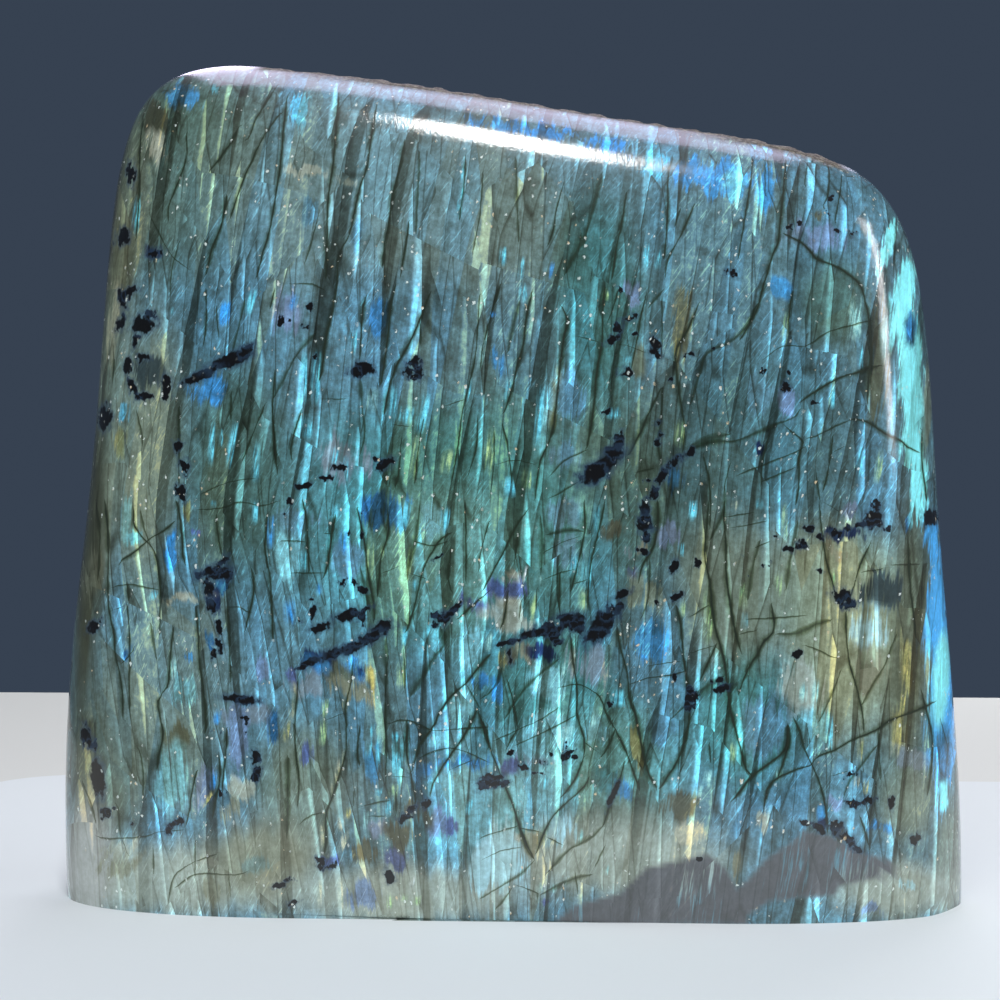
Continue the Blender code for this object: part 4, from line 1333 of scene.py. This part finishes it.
def cloud(vector, detail=2.0, roughness=0.5):
    node = nodes.new("ShaderNodeTexNoise")
    plug(node.inputs["Vector"], vector)
    node.inputs["Scale"].default_value = 1.0
    node.inputs["Detail"].default_value = detail
    node.inputs["Roughness"].default_value = roughness
    return node.outputs["Fac"]


def cells(vector, feature="F1"):
    node = nodes.new("ShaderNodeTexVoronoi")
    node.feature = feature
    plug(node.inputs["Vector"], vector)
    node.inputs["Scale"].default_value = 1.0
    return node


def mix(share, below, above, blend="MIX"):
    node = nodes.new("ShaderNodeMix")
    node.data_type = "RGBA"
    node.blend_type = blend
    node.clamp_factor = True
    plug(node.inputs[0], share)
    plug(node.inputs[6], below if isinstance(below, bpy.types.NodeSocket) else (*below, 1))
    plug(node.inputs[7], above if isinstance(above, bpy.types.NodeSocket) else (*above, 1))
    return node.outputs[2]


def parts_of(vector):
    node = nodes.new("ShaderNodeSeparateXYZ")
    plug(node.inputs[0], vector)
    return node.outputs


# %% Tone, plate by plate and splinter by splinter
BLOCK_SIZE = (1 / 15.0, 1 / 25.0, 1 / 24.0)
BLOCK_SHIFT = 6.0
PLATE_SIZE = (1 / 5.2, 1 / 16.0, 1 / 55.0)
SPLINTER_SIZE = (1 / 2.5, 1 / 7.0, 1 / 22.0)
FIBRE_SIZE = (1 / 0.42, 1 / 1.5, 1 / 6.0)
FILIGREE_SIZE = (1 / 0.3, 1 / 1.5, 1 / 3.0)
DUST_SIZE = (1300.0, 1300.0, 1100.0)
MOTTLE_SIZE = (420.0, 420.0, 300.0)

tone = kept("tone")
flash = kept("flash")
brilliance = tone.outputs["Alpha"]
in_plates = kept("within_plates").outputs["Vector"]
rock_place = nodes.new("ShaderNodeTexCoord").outputs["Object"]


def joined(x, y, z):
    node = nodes.new("ShaderNodeCombineXYZ")
    for socket, value in zip(node.inputs, (x, y, z)):
        plug(socket, value)
    return node.outputs[0]


along_x, through, upward = parts_of(in_plates)
block = cells(stretched(joined(maths("MULTIPLY_ADD", upward, 0.35, along_x), through, upward), BLOCK_SIZE))
block_luck = parts_of(block.outputs["Color"])


def plates_of(size, shift, lean):
    """Cells as long thin plates: two random numbers for each, the place across it, and the cells' space."""
    moved = maths("MULTIPLY_ADD", block_luck[0], shift, maths("MULTIPLY_ADD", upward, lean, along_x))
    place = stretched(joined(moved, through, upward), size)
    cell = cells(place)
    across = maths("SUBTRACT", parts_of(place)[0], parts_of(cell.outputs["Position"])[0])
    luck = parts_of(cell.outputs["Color"])
    return luck[0], luck[1], across, place


plate_luck, plate_hue, across_plate, _ = plates_of(PLATE_SIZE, 0.6, -0.02)
splinter_luck, splinter_hue, across_splinter, in_splinters = plates_of(SPLINTER_SIZE, BLOCK_SHIFT, 0.07)
to_seam = cells(in_splinters, "DISTANCE_TO_EDGE").outputs["Distance"]
fibre = cloud(stretched(in_plates, FIBRE_SIZE), 2.0, 0.6)
dust = cloud(stretched(rock_place, DUST_SIZE), 3.0, 0.75)
mottle = cloud(stretched(rock_place, MOTTLE_SIZE), 2.0, 0.6)

shows_flash = maths("SUBTRACT", flash.outputs["Alpha"], maths("MULTIPLY_ADD", splinter_luck, 0.65, 0.1))
shows_flash = maths("MULTIPLY_ADD", maths("SUBTRACT", fibre, 0.5), 2.0, shows_flash)
colour = mix(step_between(shows_flash, -0.2, 0.3), tone.outputs["Color"], flash.outputs["Color"])
GREY_PLATE, BLUE_PLATE = (1.14, 0.98, 0.82), (0.80, 1.03, 1.26)
blueness = maths("MULTIPLY_ADD", plate_hue, 0.6, maths("MULTIPLY", block_luck[1], 0.4))
plate_tint = mix(blueness, GREY_PLATE, BLUE_PLATE)
colour = mix(step_between(brilliance, 0.1, 0.5), colour, mix(1.0, colour, plate_tint, "MULTIPLY"))

leaning_more = joined(maths("MULTIPLY_ADD", upward, -0.55, along_x), through, upward)
filigree = step_between(cloud(stretched(leaning_more, FILIGREE_SIZE), 1.0, 0.5), 0.60, 0.70)
filigree = maths("MULTIPLY", filigree, step_between(block_luck[1], 0.3, 0.6))
edge_light = step_between(splinter_hue, 0.3, 0.9, 0.1, 1.9)
bright_edge = maths("MULTIPLY", step_between(across_splinter, 0.15, 0.45), edge_light)
dark_edge = maths("MULTIPLY", step_between(across_splinter, -0.45, -0.2, 1.0, 0.0), splinter_luck)
gap_share = step_between(plate_luck, 0.1, 0.6)
plate_gap = maths("MULTIPLY", step_between(across_plate, -0.47, -0.40, 1.0, 0.0), gap_share)
seam_share = step_between(splinter_luck, 0.2, 0.7)
seam = maths("MULTIPLY", step_between(to_seam, 0.0, 0.07, 1.0, 0.0), seam_share)

# %% Add up the parts in octaves, where one octave is twice the light
DARKEST_OCTAVES = -4.42
OCTAVES = (
    (plate_luck, 0.6), (across_plate, 0.6), (block_luck[2], 0.35), (bright_edge, 1.0),
    (fibre, 1.6), (dust, 2.8), (dark_edge, -0.5), (plate_gap, -1.5),
    (filigree, 0.9), (seam, -1.3), (mottle, 2.6),
)
octaves = DARKEST_OCTAVES
for part, weight in OCTAVES:
    octaves = maths("MULTIPLY_ADD", part, weight, octaves)
octaves = maths("MULTIPLY", octaves, step_between(brilliance, 0.05, 0.6, 0.25, 1.0))

sunk = maths("MINIMUM", octaves, 0.0)
red_share = maths("MULTIPLY_ADD", brilliance, -0.45, 1.0)
red = maths("MULTIPLY_ADD", octaves, red_share, maths("MULTIPLY", sunk, maths("MULTIPLY", brilliance, 0.2)))
blue_share = maths("MULTIPLY_ADD", brilliance, 0.1, 1.0)
blue = maths("MULTIPLY_ADD", octaves, blue_share, maths("MULTIPLY", sunk, 0.12))
tint = joined(maths("POWER", 2.0, red), maths("POWER", 2.0, octaves), maths("POWER", 2.0, blue))
colour = mix(1.0, colour, tint, "MULTIPLY")
LIME_TINT = (1.5, 1.08, 0.68)
lime_plate = step_between(plate_hue, 0.30, 0.22, 0.0, 0.8)
lime_share = maths("MULTIPLY", lime_plate, step_between(octaves, 0.0, 0.8))
colour = mix(lime_share, colour, mix(1.0, colour, LIME_TINT, "MULTIPLY"))
print("parts that make a place brighter or darker:", len(OCTAVES))

# %% The bright splinters: sharp on the right, fading out to the left
SPLINTER_DIM, SPLINTER_LIT = (0.45, 0.62, 0.70), (1.15, 1.15, 1.15)
SPLINTER_RAG = 4.0
THINNEST = 0.02
for number in range(1, SPLINTERS_KEPT + 1):
    gap, half_width, ends = parts_of(kept(f"splinter_{number}").outputs["Vector"])
    ragged = maths("MULTIPLY_ADD", maths("SUBTRACT", fibre, 0.5), SPLINTER_RAG, gap)
    reach = maths("DIVIDE", ragged, maths("MAXIMUM", half_width, THINNEST))
    fading_side = step_between(reach, -2.6, 0.6)
    sharp_side = step_between(reach, 0.8, 1.2, 1.0, 0.0)
    broken = step_between(fibre, 0.42, 0.60, 0.15, 1.0)
    cover = maths("MULTIPLY", maths("MULTIPLY", fading_side, sharp_side), maths("MULTIPLY", broken, ends))
    lit = mix(step_between(dust, 0.35, 0.65), SPLINTER_DIM, SPLINTER_LIT)
    own_colour = kept(f"splinter_colour_{number}").outputs["Color"]
    colour = mix(cover, colour, mix(1.0, own_colour, lit, "MULTIPLY"))
print("layers of bright splinters:", SPLINTERS_KEPT)

# %% The cracks: a thin black-green core in an olive shade
CRACK_CORE = (0.012, 0.018, 0.011)
CRACK_SHADE = (0.40, 0.41, 0.28)
WOBBLE_SIZE = (900.0, 900.0, 700.0)
SWELLING_SIZE = (0.2, 0.2, 0.28)
CRACK_RAG = 1.8
wobble = cloud(stretched(rock_place, WOBBLE_SIZE), 2.0, 0.6)
swelling = cloud(stretched(in_plates, SWELLING_SIZE), 1.0, 0.5)
swelling = step_between(swelling, 0.3, 0.7, 0.3, 1.1)


def crack_cover(layer):
    """How much of a crack's core and of its shade covers a place."""
    gap, half_width, dark = parts_of(kept(layer).outputs["Vector"])
    ragged = maths("MULTIPLY_ADD", maths("SUBTRACT", wobble, 0.5), CRACK_RAG, gap)
    swollen = maths("MAXIMUM", maths("MULTIPLY", half_width, swelling), THINNEST)
    reach = maths("DIVIDE", ragged, swollen)
    core = step_between(maths("ABSOLUTE", reach), 0.1, 0.9, 1.0, 0.0)
    shade = maths("MULTIPLY", step_between(reach, -2.8, -0.4), step_between(reach, 0.7, 1.7, 0.9, 0.0))
    return maths("MULTIPLY", core, dark), shade


for number in range(1, CRACKS_KEPT + 1):
    core, shade = crack_cover(f"crack_{number}")
    colour = mix(shade, colour, mix(1.0, colour, CRACK_SHADE, "MULTIPLY"))
    colour = mix(core, colour, CRACK_CORE)
print("layers of cracks:", CRACKS_KEPT)

# %% The dark grains and their blue rims
GRAIN_BLACK = (0.003, 0.003, 0.003)
GRAIN_RIM = (0.020, 0.045, 0.085)
GRAIN_RAG = 42.0
for number in range(1, GRAINS_KEPT + 1):
    along, across, size = parts_of(kept(f"grain_{number}").outputs["Vector"])
    distance = maths("SQRT", maths("MULTIPLY_ADD", along, along, maths("MULTIPLY", across, across)))
    rag = maths("MULTIPLY", maths("SUBTRACT", wobble, 0.5), size)
    torn_edge = maths("MULTIPLY_ADD", rag, GRAIN_RAG, distance)
    colour = mix(step_between(torn_edge, 0.9, 1.9, 0.55, 0.0), colour, GRAIN_RIM)
    colour = mix(step_between(torn_edge, 0.85, 1.15, 1.0, 0.0), colour, GRAIN_BLACK)
print("layers of dark grains:", GRAINS_KEPT)

# %% Painted glints, in clusters: white and gold specks in the colour that stand in for sparkles of light on the polish
GLINT_SIZE = (1.05, 0.9, 0.75)
GLINT_CLUSTER = (150.0, 150.0, 100.0)
GLINT_WHITE, GLINT_GOLD = (0.62, 0.70, 0.68), (0.60, 0.48, 0.30)
glint = cells(stretched(in_plates, GLINT_SIZE))
cluster = cloud(stretched(rock_place, GLINT_CLUSTER), 2.0, 0.6)
glint_luck = maths("MULTIPLY_ADD", cluster, 3.0, parts_of(glint.outputs["Color"])[0])
glint_cover = maths("MULTIPLY", step_between(glint_luck, 2.05, 2.5), step_between(brilliance, 0.0, 0.2))
glint_edge = maths("MULTIPLY_ADD", maths("SUBTRACT", dust, 0.5), 1.6, glint.outputs["Distance"])
glint_cover = maths("MULTIPLY", glint_cover, step_between(glint_edge, 0.02, 0.16, 0.8, 0.0))
glint_colour = mix(step_between(wobble, 0.56, 0.60), GLINT_WHITE, GLINT_GOLD)
colour = mix(glint_cover, colour, glint_colour)

# %% The rough strip
STRIP_BROWN = (0.045, 0.038, 0.024)
STRIP_PALE = (0.19, 0.175, 0.13)
CRUMB_SIZE = (1400.0, 1400.0, 1400.0)
strip = kept("rough_strip").outputs["Fac"]
crumbs = cloud(stretched(rock_place, CRUMB_SIZE), 3.0, 0.7)
strip_colour = mix(step_between(crumbs, 0.42, 0.66), STRIP_BROWN, STRIP_PALE)
colour = mix(strip, colour, strip_colour)
print("nodes before the polish:", len(nodes))

# %% Polish
SCRATCH_SIZE = (3.5, 3.5, 0.9)
CRUMB_RELIEF = 14.0
BODY_ROUGHNESS, STRIP_ROUGHER_BY = 0.45, 0.35
scratches = cloud(stretched(in_plates, SCRATCH_SIZE), 2.0, 0.6)
bump = nodes.new("ShaderNodeBump")
bump.inputs["Strength"].default_value = 0.10
bump.inputs["Distance"].default_value = 0.0002
relief = maths("MULTIPLY", crumbs, CRUMB_RELIEF)
plug(bump.inputs["Height"], maths("MULTIPLY_ADD", strip, relief, scratches))
plug(polish.inputs["Base Color"], colour)
plug(polish.inputs["Roughness"], maths("MULTIPLY_ADD", strip, STRIP_ROUGHER_BY, BODY_ROUGHNESS))
plug(polish.inputs["Normal"], bump.outputs["Normal"])
plug(polish.inputs["Coat Weight"], maths("SUBTRACT", 1.0, strip))
plug(polish.inputs["Coat Normal"], bump.outputs["Normal"])
polish.inputs["IOR"].default_value = 1.45
polish.inputs["Specular IOR Level"].default_value = 0.25
polish.inputs["Coat Roughness"].default_value = 0.09
polish.inputs["Coat IOR"].default_value = 1.56
stone_mesh.materials.append(stone_finish)
print("shader nodes:", len(nodes))

# %% Measure the box and finish
stone_box = [list(map(float, corner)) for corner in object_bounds()]
print("visual box", [[round(c / MM, 2) for c in corner] for corner in stone_box], "mm")
